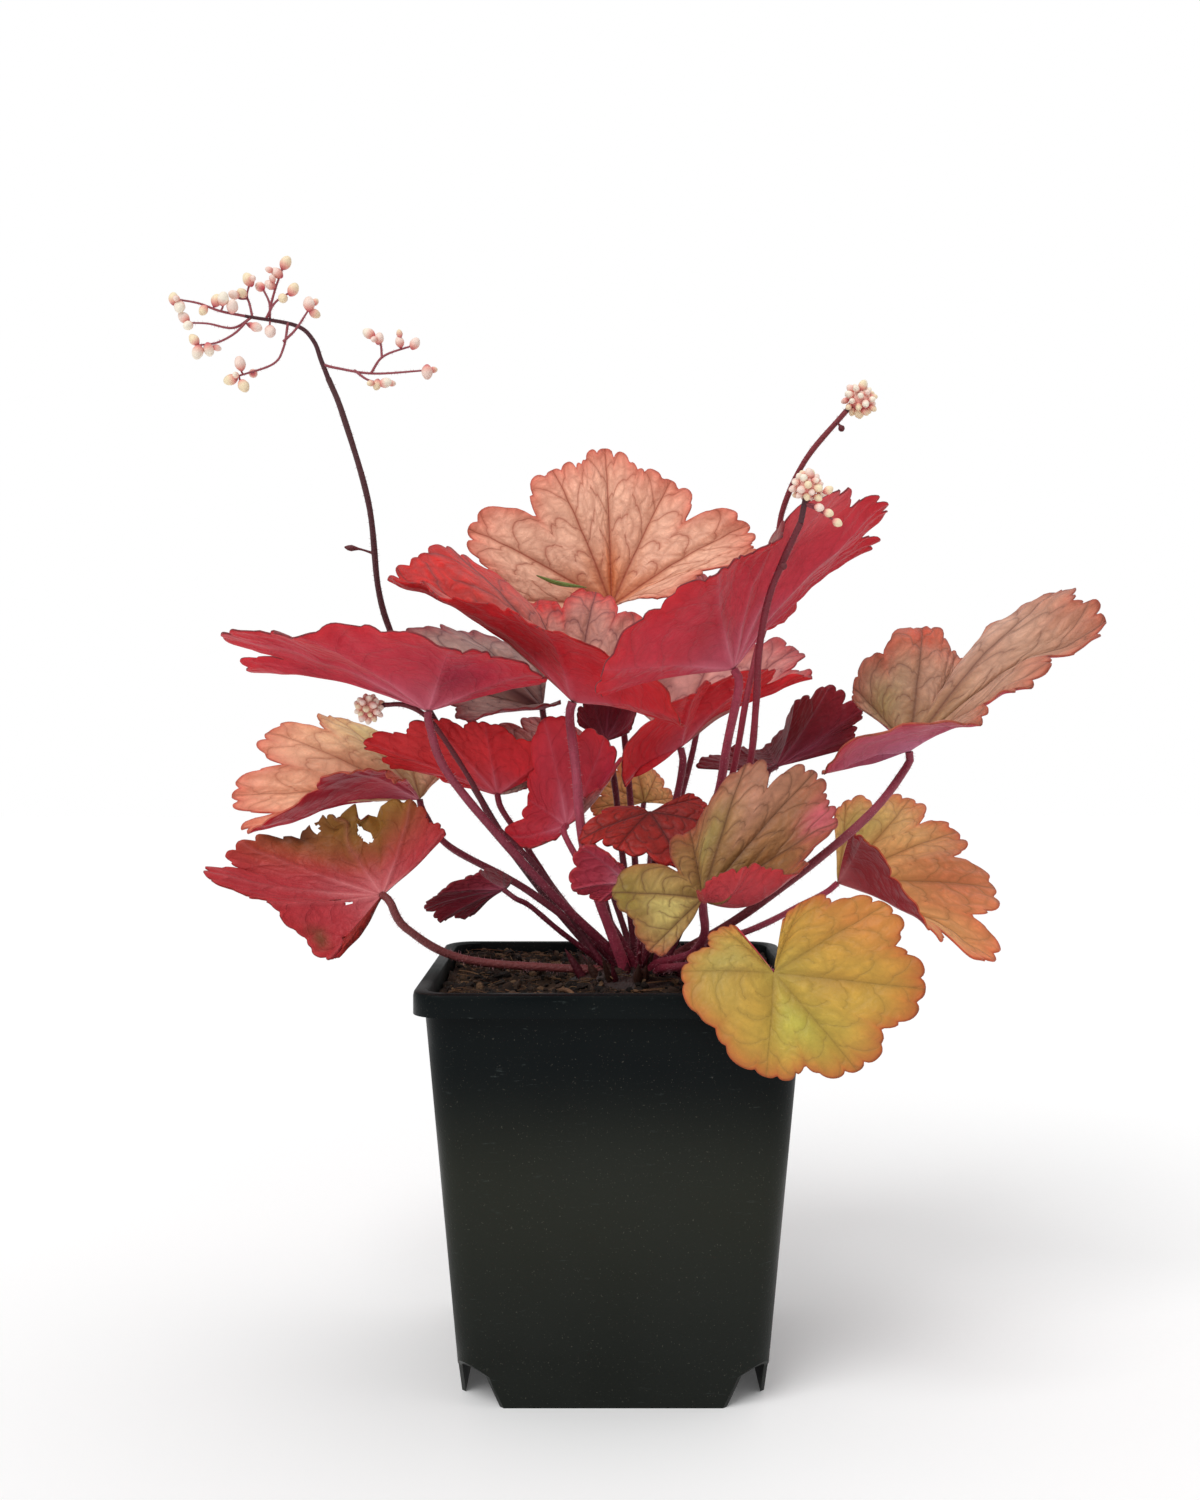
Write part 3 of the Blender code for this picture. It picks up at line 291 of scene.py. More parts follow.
# Leaf stalks: radius, points from the crown up, colour low down and near the leaf.
WINE = srgb(104, 24, 44)
PLUM = srgb(130, 34, 56)
PINK_STALK = srgb(178, 66, 90)
MAUVE_STALK = srgb(156, 64, 84)
BROWN_STALK = srgb(120, 58, 58)
STALKS = {
    "leaf_top_peach": (1.15, [(9, 4, 120), (6, 26, 169), (3, 34, 201)], WINE, PLUM),
    "leaf_upper_left_funnel": (1.6, [(3, -6, 121), (-4, -12, 140), (-9, -16, 159), (-11, -17, 180)],
                               PINK_STALK, MAUVE_STALK),
    "leaf_left_crimson": (1.4, [(5, -2, 118), (-22, -12, 146), (-48, -17, 177)], WINE, MAUVE_STALK),
    "leaf_right_crimson": (1.45, [(13, -2, 121), (27, -6, 155), (32, -11, 173), (34, -19, 188)],
                           WINE, PINK_STALK),
    "leaf_centre_cup": (1.3, [(12, 0, 122), (16, 4, 154), (20, 5, 170)], WINE, PLUM),
    "leaf_far_right_olive": (1.4, [(15, 0, 119), (41, -18, 138), (72, -26, 164)],
                             BROWN_STALK, MAUVE_STALK),
    "leaf_right_dark": (1.1, [(13, 4, 122), (35, 28, 152), (49, 38, 168)], WINE, WINE),
    "leaf_lower_right_amber": (1.1, [(15, 2, 120), (44, 14, 128), (61, 22, 135)], WINE, PINK_STALK),
    "leaf_front_olive": (1.4, [(13, -8, 120), (23, -20, 125), (26, -36, 133)], PLUM, MAUVE_STALK),
    "leaf_over_rim_yellow": (1.4, [(13, -6, 118), (22, -30, 123), (35, -54, 128)],
                             PLUM, MAUVE_STALK),
    "leaf_left_peach": (1.25, [(-1, 0, 122), (-26, 7, 141), (-52, 20, 154)], WINE, PLUM),
    "leaf_lower_left_withered": (1.4, [(2, -2, 117), (-43, -5, 121), (-62, -9, 131)],
                                 BROWN_STALK, BROWN_STALK),
    "leaf_left_red": (1.1, [(0, 0, 121), (-16, 5, 139), (-29, 9, 158)], WINE, PLUM),
    "leaf_centre_red": (1.1, [(6, -4, 121), (-3, -7, 137), (-10, -8, 151)], WINE, PINK_STALK),
    "leaf_left_grey": (1.15, [(2, 2, 122), (-7, 6, 154), (-16, 11, 179)], WINE, WINE),
    "leaf_front_brick": (0.9, [(10, -4, 121), (12, -8, 146), (13, -14, 158)], WINE, WINE),
    "leaf_small_maroon": (0.9, [(-4, 0, 120), (-16, -5, 130), (-25, -8, 138)], WINE, WINE),
    "leaf_small_pink": (0.9, [(8, -8, 121), (8, -20, 132), (7, -25, 140)], WINE, PINK_STALK),
    "leaf_back_amber": (1.0, [(11, 6, 121), (12, 24, 143), (13, 38, 155)], WINE, PLUM),
    "leaf_back_pink": (1.1, [(12, 8, 123), (18, 26, 152), (28, 42, 188)], WINE, PLUM),
    "leaf_back_left": (1.0, [(6, 6, 122), (-4, 20, 150), (-12, 34, 165)], WINE, PLUM),
    "leaf_centre_dark": (1.1, [(7, 2, 122), (3, 6, 154), (1, 8, 173)], WINE, WINE),
}
APPROACH = 5.0               # where a stalk starts to turn towards its blade, from the junction
OWN_SHARE = 0.55             # how much of its own direction it keeps there

# Flower stalks: radius and points from the crown up; colour low down and at the head; and the
# root and middle of a small bract on the side of each that has one.
FLOWER_STALKS = {
    "flower_stalk_tall": (1.1, [
        (-4, 6, 120), (-16, 13, 133), (-29, 18, 148), (-50, 20, 183), (-62, 20, 204),
        (-70, 19, 221), (-74, 15, 236), (-76, 8, 262), (-82.5, -2, 288), (-86.2, -6, 298)]),
    "flower_stalk_low": (0.9, [
        (-3, -4, 120), (-22, -5, 148), (-36, -6, 163), (-43, -7, 176), (-52, -7, 190),
        (-57, -8, 196), (-63, -8, 199), (-69, -8, 199)]),
    "flower_stalk_right": (1.0, [
        (17, 4, 122), (31, -4, 155), (37, -10, 182), (40, -12, 200), (44, -7, 216),
        (47, -3, 225), (51, 3, 250), (53, 0, 261), (59, -6, 274), (70, -12, 287)]),
    "flower_stalk_front": (1.1, [
        (15, -10, 120), (26, -14, 144), (35, -18, 166), (40, -24, 181), (41, -34, 200),
        (41, -42, 214), (43, -48, 228), (47, -52, 239), (51, -55, 248)]),
}
DARK_STALK = srgb(78, 38, 46)
TWIG = srgb(150, 74, 84)
FLOWER_STALK_COLOURS = {
    "flower_stalk_tall": (srgb(88, 30, 44), srgb(86, 52, 54)),
    "flower_stalk_low": (srgb(96, 30, 46), srgb(112, 46, 54)),
    "flower_stalk_right": (srgb(146, 28, 54), srgb(134, 56, 62)),
    "flower_stalk_front": (srgb(150, 30, 56), srgb(104, 34, 44)),
}
SIDE_BRACTS = {
    "flower_stalk_tall": ((-75.2, 12.0, 247.0), (-83.2, 10.5, 248.6)),
    "flower_stalk_right": ((67.0, -10.5, 284.0), (68.6, -13.5, 281.0)),
    "flower_stalk_front": ((46.0, -51.2, 236.8), (46.6, -54.4, 236.0)),
}

# The open spray of the tall stalk: its twigs, the thickest first, and the middle of each bud.
SPRAY_TWIGS = [
    [(-86.2, -6, 298), (-88, -8, 303), (-90, -10, 308.5), (-95, -12, 312.5), (-109, -17, 314)],
    [(-109, -17, 314), (-116, -19, 315), (-122, -20, 317), (-129, -21, 318)],
    [(-107, -16, 314), (-112, -19, 310), (-119, -20, 311), (-124, -21, 311)],
    [(-108, -17, 313), (-111, -21, 308), (-116, -22, 305), (-121, -23, 304)],
    [(-107, -16, 314), (-108, -15, 318), (-109, -14, 321), (-108, -14, 325)],
    [(-102, -15, 314), (-102.5, -13.5, 319), (-105, -12.5, 324)],
    [(-102.2, -14, 317), (-100.5, -14, 323), (-98, -14, 330)],
    [(-103, -15, 314), (-100, -17, 318), (-95, -18, 321)],
    [(-97, -13, 313), (-98, -15, 305), (-101, -16, 300), (-111, -18, 296)],
    [(-98, -15, 307), (-94, -17, 310), (-90, -17, 316)],
    [(-87.6, -7.6, 301.8), (-83, -8, 300.6), (-72, -8, 299), (-56, -8, 300)],
    [(-73, -8, 299), (-69, -9, 304), (-60, -10, 307)],
    [(-69.5, -9, 303.5), (-70, -8, 308), (-71, -8, 310)],
    [(-78, -8, 300), (-74, -9, 297), (-70, -9, 296)],
]
SPRAY_BUDS = [
    (-129, -21, 318), (-127, -22, 315.5), (-120.5, -20, 315), (-126, -21, 312.5),
    (-124.5, -22, 310), (-122.5, -23, 305.5), (-121.5, -23, 302), (-118.5, -22, 303),
    (-117, -19, 318), (-114.5, -21, 318), (-112, -18, 320), (-112, -20, 316), (-108.5, -14, 325.5),
    (-110, -16, 321), (-105.5, -12, 324), (-102, -14, 324), (-97.5, -14, 330.5), (-100, -14, 327.5),
    (-94.5, -18, 321.5), (-97.5, -18, 319), (-105.5, -18, 310.5), (-101.5, -17, 309.5),
    (-90, -17, 317.5), (-88.5, -16, 315), (-110, -19, 299.5), (-113, -18, 295), (-109, -19, 293),
    (-107, -15, 297.5), (-73.5, -8, 311), (-70.5, -8, 309.5), (-64, -10, 308), (-59.5, -10, 307.5),
    (-56, -8, 299.5), (-71, -9, 295.5), (-68.5, -9, 296)]

# Closed heads: stalk, middle, half sizes, how many buds, and its loose buds on threads.
HEADS = {
    "flower_head_right": ("flower_stalk_right", (74.0, -13.0, 290.0), (4.0, 4.0, 4.2), 34, []),
    "flower_head_front": ("flower_stalk_front", (52.8, -56.5, 257.8), (3.7, 3.6, 3.7), 30, [
        (58.2, -57, 256.6), (55.6, -58, 251.8), (58.2, -57.5, 250.4), (60.6, -57.5, 247.8)]),
    "flower_head_low": ("flower_stalk_low", (-73.5, -9.0, 198.0), (3.4, 3.4, 3.2), 28, []),
}

# What lies on the peat: dead stalks as radius and points, and one pebble.
DEAD_STALKS = {
    "dead_stalk_front": (0.8, [(-21, -24, 113.2), (-15, -34, 114.4), (-12, -41, 113.4)]),
    "dead_stalk_side": (0.7, [(-17, -14, 113.4), (-13, -24, 114.8), (-10, -33, 113.2)]),
}
PEBBLE_CENTRE = (-30.0, -30.0, 113.0)
PEBBLE_SIZE = (2.2, 1.6, 1.3)


# Modelling helpers

def start_fresh():
    """Leave edit mode and select nothing, before anything new is made."""
    if bpy.context.object and bpy.context.object.mode != "OBJECT":
        bpy.ops.object.mode_set(mode="OBJECT")
    bpy.ops.object.select_all(action="DESELECT")


def keep(piece, name, paints, replaced):
    """Name a finished piece, set it in place, give it its materials and hang it on the frame."""
    piece.data.transform(Matrix.Translation(Vector(POT_PLACE) * MM))
    piece.name = name
    piece.data.name = name
    for paint in paints:
        piece.data.materials.append(paint)
    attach(piece, "root")
    if replaced:
        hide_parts(replaced)
    return piece


def apply_all(piece):
    bpy.context.view_layer.objects.active = piece
    for step in list(piece.modifiers):
        bpy.ops.object.modifier_apply(modifier=step.name)


def shade_smooth(piece, angle=None):
    start_fresh()
    piece.select_set(True)
    bpy.context.view_layer.objects.active = piece
    if angle is None:
        bpy.ops.object.shade_smooth()
    else:
        bpy.ops.object.shade_smooth_by_angle(angle=math.radians(angle))
    piece.select_set(False)


def places_of(mesh):
    flat = np.empty(len(mesh.vertices) * 3)
    mesh.vertices.foreach_get("co", flat)
    return flat.reshape(-1, 3)


def set_places(mesh, places):
    mesh.vertices.foreach_set("co", np.asarray(places, float).ravel())
    mesh.update()


def colour_layer(mesh, name, colours, strength=1.0):
    """Store a colour for every point, with a strength as its alpha."""
    layer = mesh.attributes.new(name, "FLOAT_COLOR", "POINT")
    rgba = np.full((len(mesh.vertices), 4), strength)
    rgba[:, :3] = colours
    layer.data.foreach_set("color", rgba.ravel())


def through(points, count):
    """Evenly spaced places on a smooth curve through the points."""
    p = np.array(points, float)
    p = np.vstack([2 * p[0] - p[1], p, 2 * p[-1] - p[-2]])
    fine = []
    for i in range(1, len(p) - 2):
        a, b, c, d = p[i - 1], p[i], p[i + 1], p[i + 2]
        for t in np.linspace(0, 1, 24, endpoint=False):
            fine.append(0.5 * (2 * b + (c - a) * t + (2 * a - 5 * b + 4 * c - d) * t ** 2
                               + (3 * b - a - 3 * c + d) * t ** 3))
    fine.append(p[-2])
    fine = np.array(fine)
    along = np.concatenate([[0], np.cumsum(np.linalg.norm(np.diff(fine, axis=0), axis=1))])
    at = np.linspace(0, along[-1], count)
    return np.stack([np.interp(at, along, fine[:, k]) for k in range(3)], axis=1)


def unit(v):
    """The vectors made one long."""
    return v / np.maximum(np.linalg.norm(v, axis=-1, keepdims=True), 1e-9)


def bar_of(places, radii, sides):
    """Points and faces of a closed round bar along the places, with its own radius at each."""
    places = np.asarray(places, float)
    way = unit(np.gradient(places, axis=0))
    side = np.zeros_like(way)
    across = unit(np.cross(way[0], (0.13, 1.0, 0.21)))
    for k, w in enumerate(way):
        across = unit(across - w * (across @ w))
        side[k] = across
    other = np.cross(way, side)
    turn = np.arange(sides) * 2 * math.pi / sides
    ring = (side[:, None] * np.cos(turn)[None, :, None]
            + other[:, None] * np.sin(turn)[None, :, None])
    points = (places[:, None] + ring * np.asarray(radii)[:, None, None]).reshape(-1, 3)
    faces = []
    rows = len(places)
    for k in range(rows - 1):
        for j in range(sides):
            i = (j + 1) % sides
            faces.append((k * sides + j, k * sides + i, (k + 1) * sides + i, (k + 1) * sides + j))
    faces.append(tuple(range(sides - 1, -1, -1)))
    faces.append(tuple((rows - 1) * sides + j for j in range(sides)))
    return points, faces


class Heap:
    """Points, faces and colours of many small shapes that become one piece."""

    def __init__(self):
        self.points = []
        self.faces = []
        self.colours = []
        self.count = 0

    def add(self, points, faces, colours):
        points = np.asarray(points, float)
        self.points.append(points)
        self.faces += [tuple(i + self.count for i in f) for f in faces]
        self.colours.append(np.broadcast_to(np.asarray(colours, float), (len(points), 3)))
        self.count += len(points)

    def bar(self, places, radii, sides, colours):
        self.add(*bar_of(places, radii, sides), colours)

    def keep(self, name, paint, replaced, finish):
        """Make one smooth piece of the whole heap."""
        mesh = bpy.data.meshes.new(name)
        mesh.from_pydata((np.vstack(self.points) * MM).tolist(), [], self.faces)
        mesh.update()
        colour_layer(mesh, "tint", np.vstack(self.colours))
        made_piece = bpy.data.objects.new(name, mesh)
        bpy.context.scene.collection.objects.link(made_piece)
        shade_smooth(made_piece, 50)
        keep(made_piece, name, [paint], replaced)


def taken_shape():
    """Points and faces of the primitive just added, which is taken out of the scene again."""
    model = bpy.context.object
    points, faces = places_of(model.data), [tuple(f.vertices) for f in model.data.polygons]
    bpy.data.objects.remove(model, do_unlink=True)
    return points, faces


def edit_all():
    bpy.ops.object.mode_set(mode="EDIT")
    bpy.ops.mesh.select_all(action="SELECT")


# Materials

class Nodes:
    """Short ways to add and join nodes in one tree."""

    def __init__(self, tree):
        self.tree = tree

    def add(self, kind, **settings):
        node = self.tree.nodes.new(kind)
        for key, value in settings.items():
            setattr(node, key, value)
        return node

    def join(self, source, target):
        self.tree.links.new(source, target)

    def feed(self, socket, value):
        if hasattr(value, "links"):
            self.join(value, socket)
        else:
            socket.default_value = value

    def math(self, operation, first, second=0.0):
        node = self.add("ShaderNodeMath", operation=operation)
        for socket, value in zip(node.inputs, (first, second)):
            self.feed(socket, value)
        return node.outputs[0]

    def times(self, first, second):
        return self.math("MULTIPLY", first, second)

    def plus(self, first, second):
        return self.math("ADD", first, second)

    def minus(self, first, second):
        return self.math("SUBTRACT", first, second)

    def most(self, first, second):
        return self.math("MAXIMUM", first, second)

    def ramp(self, value, low, high, to_low=0.0, to_high=1.0):
        node = self.add("ShaderNodeMapRange", interpolation_type="SMOOTHSTEP")
        for socket, given in zip(node.inputs, (value, low, high, to_low, to_high)):
            self.feed(socket, given)
        return node.outputs[0]

    def mix(self, factor, first, second, blend="MIX"):
        node = self.add("ShaderNodeMix", data_type="RGBA", blend_type=blend)
        self.feed(node.inputs[0], factor)
        self.feed(node.inputs[6], first if hasattr(first, "links") else (*first, 1.0))
        self.feed(node.inputs[7], second if hasattr(second, "links") else (*second, 1.0))
        return node.outputs[2]

    def shade(self, colour, by):
        return self.mix(1.0, colour, by, "MULTIPLY")

    def noise(self, vector, scale, detail=4.0, rough=0.55):
        node = self.add("ShaderNodeTexNoise")
        self.feed(node.inputs["Vector"], vector)
        node.inputs["Scale"].default_value = scale
        node.inputs["Detail"].default_value = detail
        node.inputs["Roughness"].default_value = rough
        return node.outputs["Fac"]

    def group(self, tree, **inputs):
        node = self.add("ShaderNodeGroup")
        node.node_tree = tree
        for key, value in inputs.items():
            self.feed(node.inputs[key.replace("_", " ")], value)
        return node


def new_material(name, roughness):
    paint = bpy.data.materials.new(name)
    paint.use_nodes = True
    n = Nodes(paint.node_tree)
    shader = paint.node_tree.nodes["Principled BSDF"]
    shader.inputs["Roughness"].default_value = roughness
    return paint, n, shader


def bump(n, shader, height, strength, distance):
    node = n.add("ShaderNodeBump")
    node.inputs["Strength"].default_value = strength
    node.inputs["Distance"].default_value = distance
    n.join(height, node.inputs["Height"])
    n.join(node.outputs["Normal"], shader.inputs["Normal"])


def vein_group():
    """Veins of a blade: one rib to each lobe, side veins off it, and a net between them."""
    tree = bpy.data.node_groups.new("leaf_veins", "ShaderNodeTree")
    for name in ("Plan", "Run"):
        tree.interface.new_socket(name, in_out="INPUT", socket_type="NodeSocketVector")
    for name in ("Ribs", "Valley shade", "Side veins", "Net", "Pillows", "Heart", "Rim"):
        tree.interface.new_socket(name, in_out="OUTPUT", socket_type="NodeSocketFloat")
    n = Nodes(tree)
    inside = n.add("NodeGroupInput")
    out = n.add("NodeGroupOutput")
    wander = n.add("ShaderNodeTexNoise")
    n.join(inside.outputs["Plan"], wander.inputs["Vector"])
    wander.inputs["Scale"].default_value = VEIN_WANDER
    wander.inputs["Detail"].default_value = 1.5
    sway = n.times(n.minus(wander.outputs["Fac"], 0.5), VEIN_SWAY)
    run = n.add("ShaderNodeSeparateXYZ")
    n.join(inside.outputs["Run"], run.inputs[0])
    lobe, share = run.outputs[0], run.outputs[1]
    off = n.minus(lobe, n.math("ROUND", lobe))
    across = n.times(n.times(off, share), LOBE_SPAN)
    swayed = n.plus(across, n.times(sway, n.times(share, 0.3)))
    aside = n.math("ABSOLUTE", swayed)

    def line(distance, core, soft, core_share):
        """A vein as a dark core in a wide soft band."""
        middle = n.minus(1.0, n.ramp(distance, 0.0, core))
        band = n.minus(1.0, n.ramp(distance, 0.0, soft))
        return n.plus(n.times(middle, core_share), n.times(band, 1.0 - core_share))

    core = n.ramp(share, 0.0, 1.0, 0.8, 0.35)
    ribs = line(aside, core, n.times(core, 5.0), 0.35)
    # painted shade: a soft band along each rib, strongest near the heart, that darkens the groove
    # over the rib
    valley = n.minus(1.0, n.ramp(aside, 0.0, 6.0))
    n.join(n.times(valley, n.ramp(share, 1.0, 0.5)), out.inputs["Valley shade"])
    along = n.times(share, RIB_LENGTH)
    bent = n.math("POWER", aside, 0.85)
    slant = n.minus(along, n.times(bent, SIDE_VEIN_SLANT))
    slant = n.plus(slant, n.times(sway, 0.45))
    other_side = n.math("GREATER_THAN", swayed, 0.0)
    step = n.plus(n.math("DIVIDE", slant, SIDE_VEIN_STEP), n.times(other_side, 0.5))
    part = n.math("ABSOLUTE", n.minus(n.math("FRACT", step), 0.5))
    side = n.times(line(part, 0.04, 0.21, 0.35), n.ramp(share, 0.1, 0.3))
    moved = n.add("ShaderNodeVectorMath", operation="MULTIPLY_ADD")
    n.join(wander.outputs["Color"], moved.inputs[0])
    moved.inputs[1].default_value = (VEIN_SWAY, VEIN_SWAY, 0.0)
    n.join(inside.outputs["Plan"], moved.inputs[2])
    nets = []
    for scale in NET_SCALES:
        cells = n.add("ShaderNodeTexVoronoi", feature="DISTANCE_TO_EDGE")
        n.join(moved.outputs[0], cells.inputs["Vector"])
        cells.inputs["Scale"].default_value = scale
        nets.append(cells.outputs["Distance"])
    net = n.most(line(nets[0], 0.04, 0.3, 0.22), n.times(line(nets[1], 0.06, 0.28, 0.4), 0.45))
    coarse, fine = n.ramp(nets[0], 0.0, 0.34), n.ramp(nets[1], 0.0, 0.3)
    pillows = n.plus(n.times(coarse, 0.7), n.times(fine, 0.3))
    n.join(ribs, out.inputs["Ribs"])
    n.join(side, out.inputs["Side veins"])
    n.join(net, out.inputs["Net"])
    n.join(pillows, out.inputs["Pillows"])
    n.join(n.ramp(share, 0.0, 0.6, 1.0, 0.0), out.inputs["Heart"])
    n.join(n.ramp(share, 0.97, 1.0), out.inputs["Rim"])
    return tree


def mottle_group():
    """Soft blotches and fine specks on a surface, as two masks."""
    tree = bpy.data.node_groups.new("mottle", "ShaderNodeTree")
    tree.interface.new_socket("Place", in_out="INPUT", socket_type="NodeSocketVector")
    for name, value in (("Blotch scale", 60.0), ("Speck scale", 900.0)):
        socket = tree.interface.new_socket(name, in_out="INPUT", socket_type="NodeSocketFloat")
        socket.default_value = value
    for name in ("Blotches", "Specks"):
        tree.interface.new_socket(name, in_out="OUTPUT", socket_type="NodeSocketFloat")
    n = Nodes(tree)
    inside = n.add("NodeGroupInput")
    out = n.add("NodeGroupOutput")
    kinds = (("Blotch scale", "Blotches", 4.0), ("Speck scale", "Specks", 2.0))
    for scale, result, detail in kinds:
        cloud = n.add("ShaderNodeTexNoise")
        n.join(inside.outputs["Place"], cloud.inputs["Vector"])
        n.join(inside.outputs[scale], cloud.inputs["Scale"])
        cloud.inputs["Detail"].default_value = detail
        n.join(n.ramp(cloud.outputs["Fac"], 0.3, 0.7), out.inputs[result])
    return tree


VEINS = vein_group()
MOTTLE = mottle_group()


def leaf_material(face, shares, relief, roughness):
    """One face of a leaf: its painted tint and veins, mottling, and the relief between veins.

    The shares say how much of the ribs, of the side veins and of the net shows.
    """
    paint, n, shader = new_material("leaf_%s_face" % face, roughness)
    colour = n.add("ShaderNodeAttribute", attribute_name=face + "_tint").outputs["Color"]
    veined = n.add("ShaderNodeAttribute", attribute_name=face + "_vein")
    vein, strength = veined.outputs["Color"], veined.outputs["Alpha"]
    plan = n.add("ShaderNodeUVMap", uv_map="plan").outputs["UV"]
    run = n.add("ShaderNodeUVMap", uv_map="run").outputs["UV"]
    place = n.add("ShaderNodeTexCoord").outputs["Object"]
    veins = n.group(VEINS, Plan=plan, Run=run)
    clouds = n.group(MOTTLE, Place=place)
    ribs, side, net = (veins.outputs[k] for k in ("Ribs", "Side veins", "Net"))
    colour = n.mix(n.times(clouds.outputs["Blotches"], 0.3), colour,
                   n.shade(colour, (0.78, 0.66, 0.62)))
    speck = n.times(clouds.outputs["Specks"], 0.2)
    colour = n.mix(speck, colour, n.shade(colour, (1.3, 1.25, 1.2)))
    lines = n.most(n.times(side, shares[1]), n.times(net, shares[2]))
    if face == "upper":
        amount = n.most(n.times(ribs, shares[0]), lines)
        amount = n.times(amount, strength)
        # painted highlight: the raised pillows between the veins are painted lighter, as if
        # catching the light
        lit = n.shade(colour, (1.14, 1.12, 1.12))
        colour = n.mix(veins.outputs["Pillows"], colour, lit)
        colour = n.mix(amount, colour, vein)
        edge = n.shade(colour, (0.7, 0.42, 0.4))
        colour = n.mix(n.times(veins.outputs["Rim"], 0.7), colour, edge)
        # painted shade: the upper face is darkened to brown in the grooves over the ribs
        valley = n.shade(colour, (0.8, 0.7, 0.62))
        colour = n.mix(n.times(veins.outputs["Valley shade"], 0.55), colour, valley)
        stands_out = -1.0
    else:
        colour = n.mix(lines, colour, n.shade(colour, (0.62, 0.5, 0.55)))
        pale = n.times(ribs, n.ramp(veins.outputs["Heart"], 0.0, 0.9, 0.18, shares[0]))
        deep = n.shade(colour, (0.6, 0.4, 0.46))
        colour = n.mix(n.ramp(n.noise(place, 34.0, 3.0), 0.46, 0.72, 0.0, 0.55), colour, deep)
        pale_wash = n.times(veins.outputs["Heart"], 0.3)
        colour = n.mix(n.most(pale, pale_wash), colour, vein)
        stands_out = 1.0
    n.join(colour, shader.inputs["Base Color"])
    shader.inputs["Specular IOR Level"].default_value = 0.22
    shader.inputs["Sheen Weight"].default_value = 0.12
    shader.inputs["Sheen Tint"].default_value = (1.0, 0.8, 0.84, 1.0)
    height = n.plus(ribs, n.times(side, 0.7))
    height = n.plus(height, n.times(net, 0.25))
    height = n.times(height, stands_out)
    height = n.plus(height, n.times(veins.outputs["Pillows"], -0.45 * stands_out))
    height = n.plus(height, n.times(clouds.outputs["Specks"], 0.2))
    bump(n, shader, height, relief, SKIN_RELIEF)
    return paint


def tinted_material(name, roughness, blotch, speck, relief, dark=(0.7, 0.62, 0.62),
                    light=(1.2, 1.12, 1.1)):
    """A natural surface that takes its colour from the piece's tint, with blotches and specks."""
    paint, n, shader = new_material(name, roughness)
    colour = n.add("ShaderNodeAttribute", attribute_name="tint").outputs["Color"]
    place = n.add("ShaderNodeTexCoord").outputs["Object"]
    clouds = n.group(MOTTLE, Place=place, Blotch_scale=blotch, Speck_scale=speck)
    colour = n.mix(n.times(clouds.outputs["Blotches"], 0.5), colour, n.shade(colour, dark))
    colour = n.mix(n.times(clouds.outputs["Specks"], 0.4), colour, n.shade(colour, light))
    n.join(colour, shader.inputs["Base Color"])
    shader.inputs["Specular IOR Level"].default_value = 0.35
    bump(n, shader, clouds.outputs["Specks"], relief, SKIN_RELIEF)
    return paint


def peat_material():
    """Moist dark peat with blotches, and with paler grit in it."""
    paint, n, shader = new_material("peat_moist", 0.92)
    place = n.add("ShaderNodeTexCoord").outputs["Object"]
    clouds = n.group(MOTTLE, Place=place, Blotch_scale=130.0, Speck_scale=1500.0)
    colour = n.mix(clouds.outputs["Blotches"], srgb(34, 25, 20), srgb(72, 54, 42))
    grit = n.ramp(n.noise(place, 700.0, 3.0), 0.6, 0.72)
    colour = n.mix(n.times(grit, 0.6), colour, srgb(112, 90, 70))
    n.join(colour, shader.inputs["Base Color"])
    shader.inputs["Specular IOR Level"].default_value = 0.25
    bump(n, shader, n.noise(place, 900.0, 6.0, 0.7), 0.9, 0.0012)
    return paint


def pot_material():
    """Black moulded plastic: paler and greyer low down with pale blotches there, darker again at
    the foot, scuffs under the rim, fine moulded grain.
    """
    paint, n, shader = new_material("pot_plastic_black", 0.4)
    coords = n.add("ShaderNodeTexCoord").outputs["Object"]
    place = n.add("ShaderNodeSeparateXYZ")
    n.join(coords, place.inputs[0])
    clouds = n.group(MOTTLE, Place=coords, Blotch_scale=28.0, Speck_scale=1400.0)
    # near black high up, paler and greyer below about 100 mm, and darker again towards the foot
    low = n.ramp(place.outputs[2], 0.1, 0.062)
    foot = n.ramp(place.outputs[2], 0.06, 0.01)
    colour = n.mix(low, srgb(2, 8, 10), srgb(36, 38, 31))
    colour = n.mix(foot, colour, srgb(24, 27, 23))
    pale_wash = n.times(clouds.outputs["Blotches"], n.ramp(low, 0.0, 1.0, 0.1, 0.3))
    colour = n.mix(pale_wash, colour, srgb(40, 43, 40))
    scuff = n.add("ShaderNodeMapping")
    scuff.inputs["Scale"].default_value = (1.0, 1.0, 5.0)
    n.join(coords, scuff.inputs["Vector"])
    marks = n.ramp(n.noise(scuff.outputs[0], 160.0, 5.0, 0.7), 0.62, 0.78)
    high = n.ramp(place.outputs[2], 0.07, 0.112, 0.2, 0.5)
    colour = n.mix(n.times(marks, high), colour, srgb(92, 100, 98))
    dust = n.ramp(n.noise(coords, 1800.0, 2.0), 0.66, 0.74)
    colour = n.mix(n.times(dust, 0.22), colour, srgb(120, 116, 104))
    n.join(colour, shader.inputs["Base Color"])
    rough = n.ramp(clouds.outputs["Blotches"], 0.0, 1.0, 0.34, 0.52)
    n.join(rough, shader.inputs["Roughness"])
    shader.inputs["Specular IOR Level"].default_value = 0.1
    height = n.plus(n.times(clouds.outputs["Specks"], 0.5), marks)
    bump(n, shader, height, 0.12, 0.0004)
    return paint


# Leaves

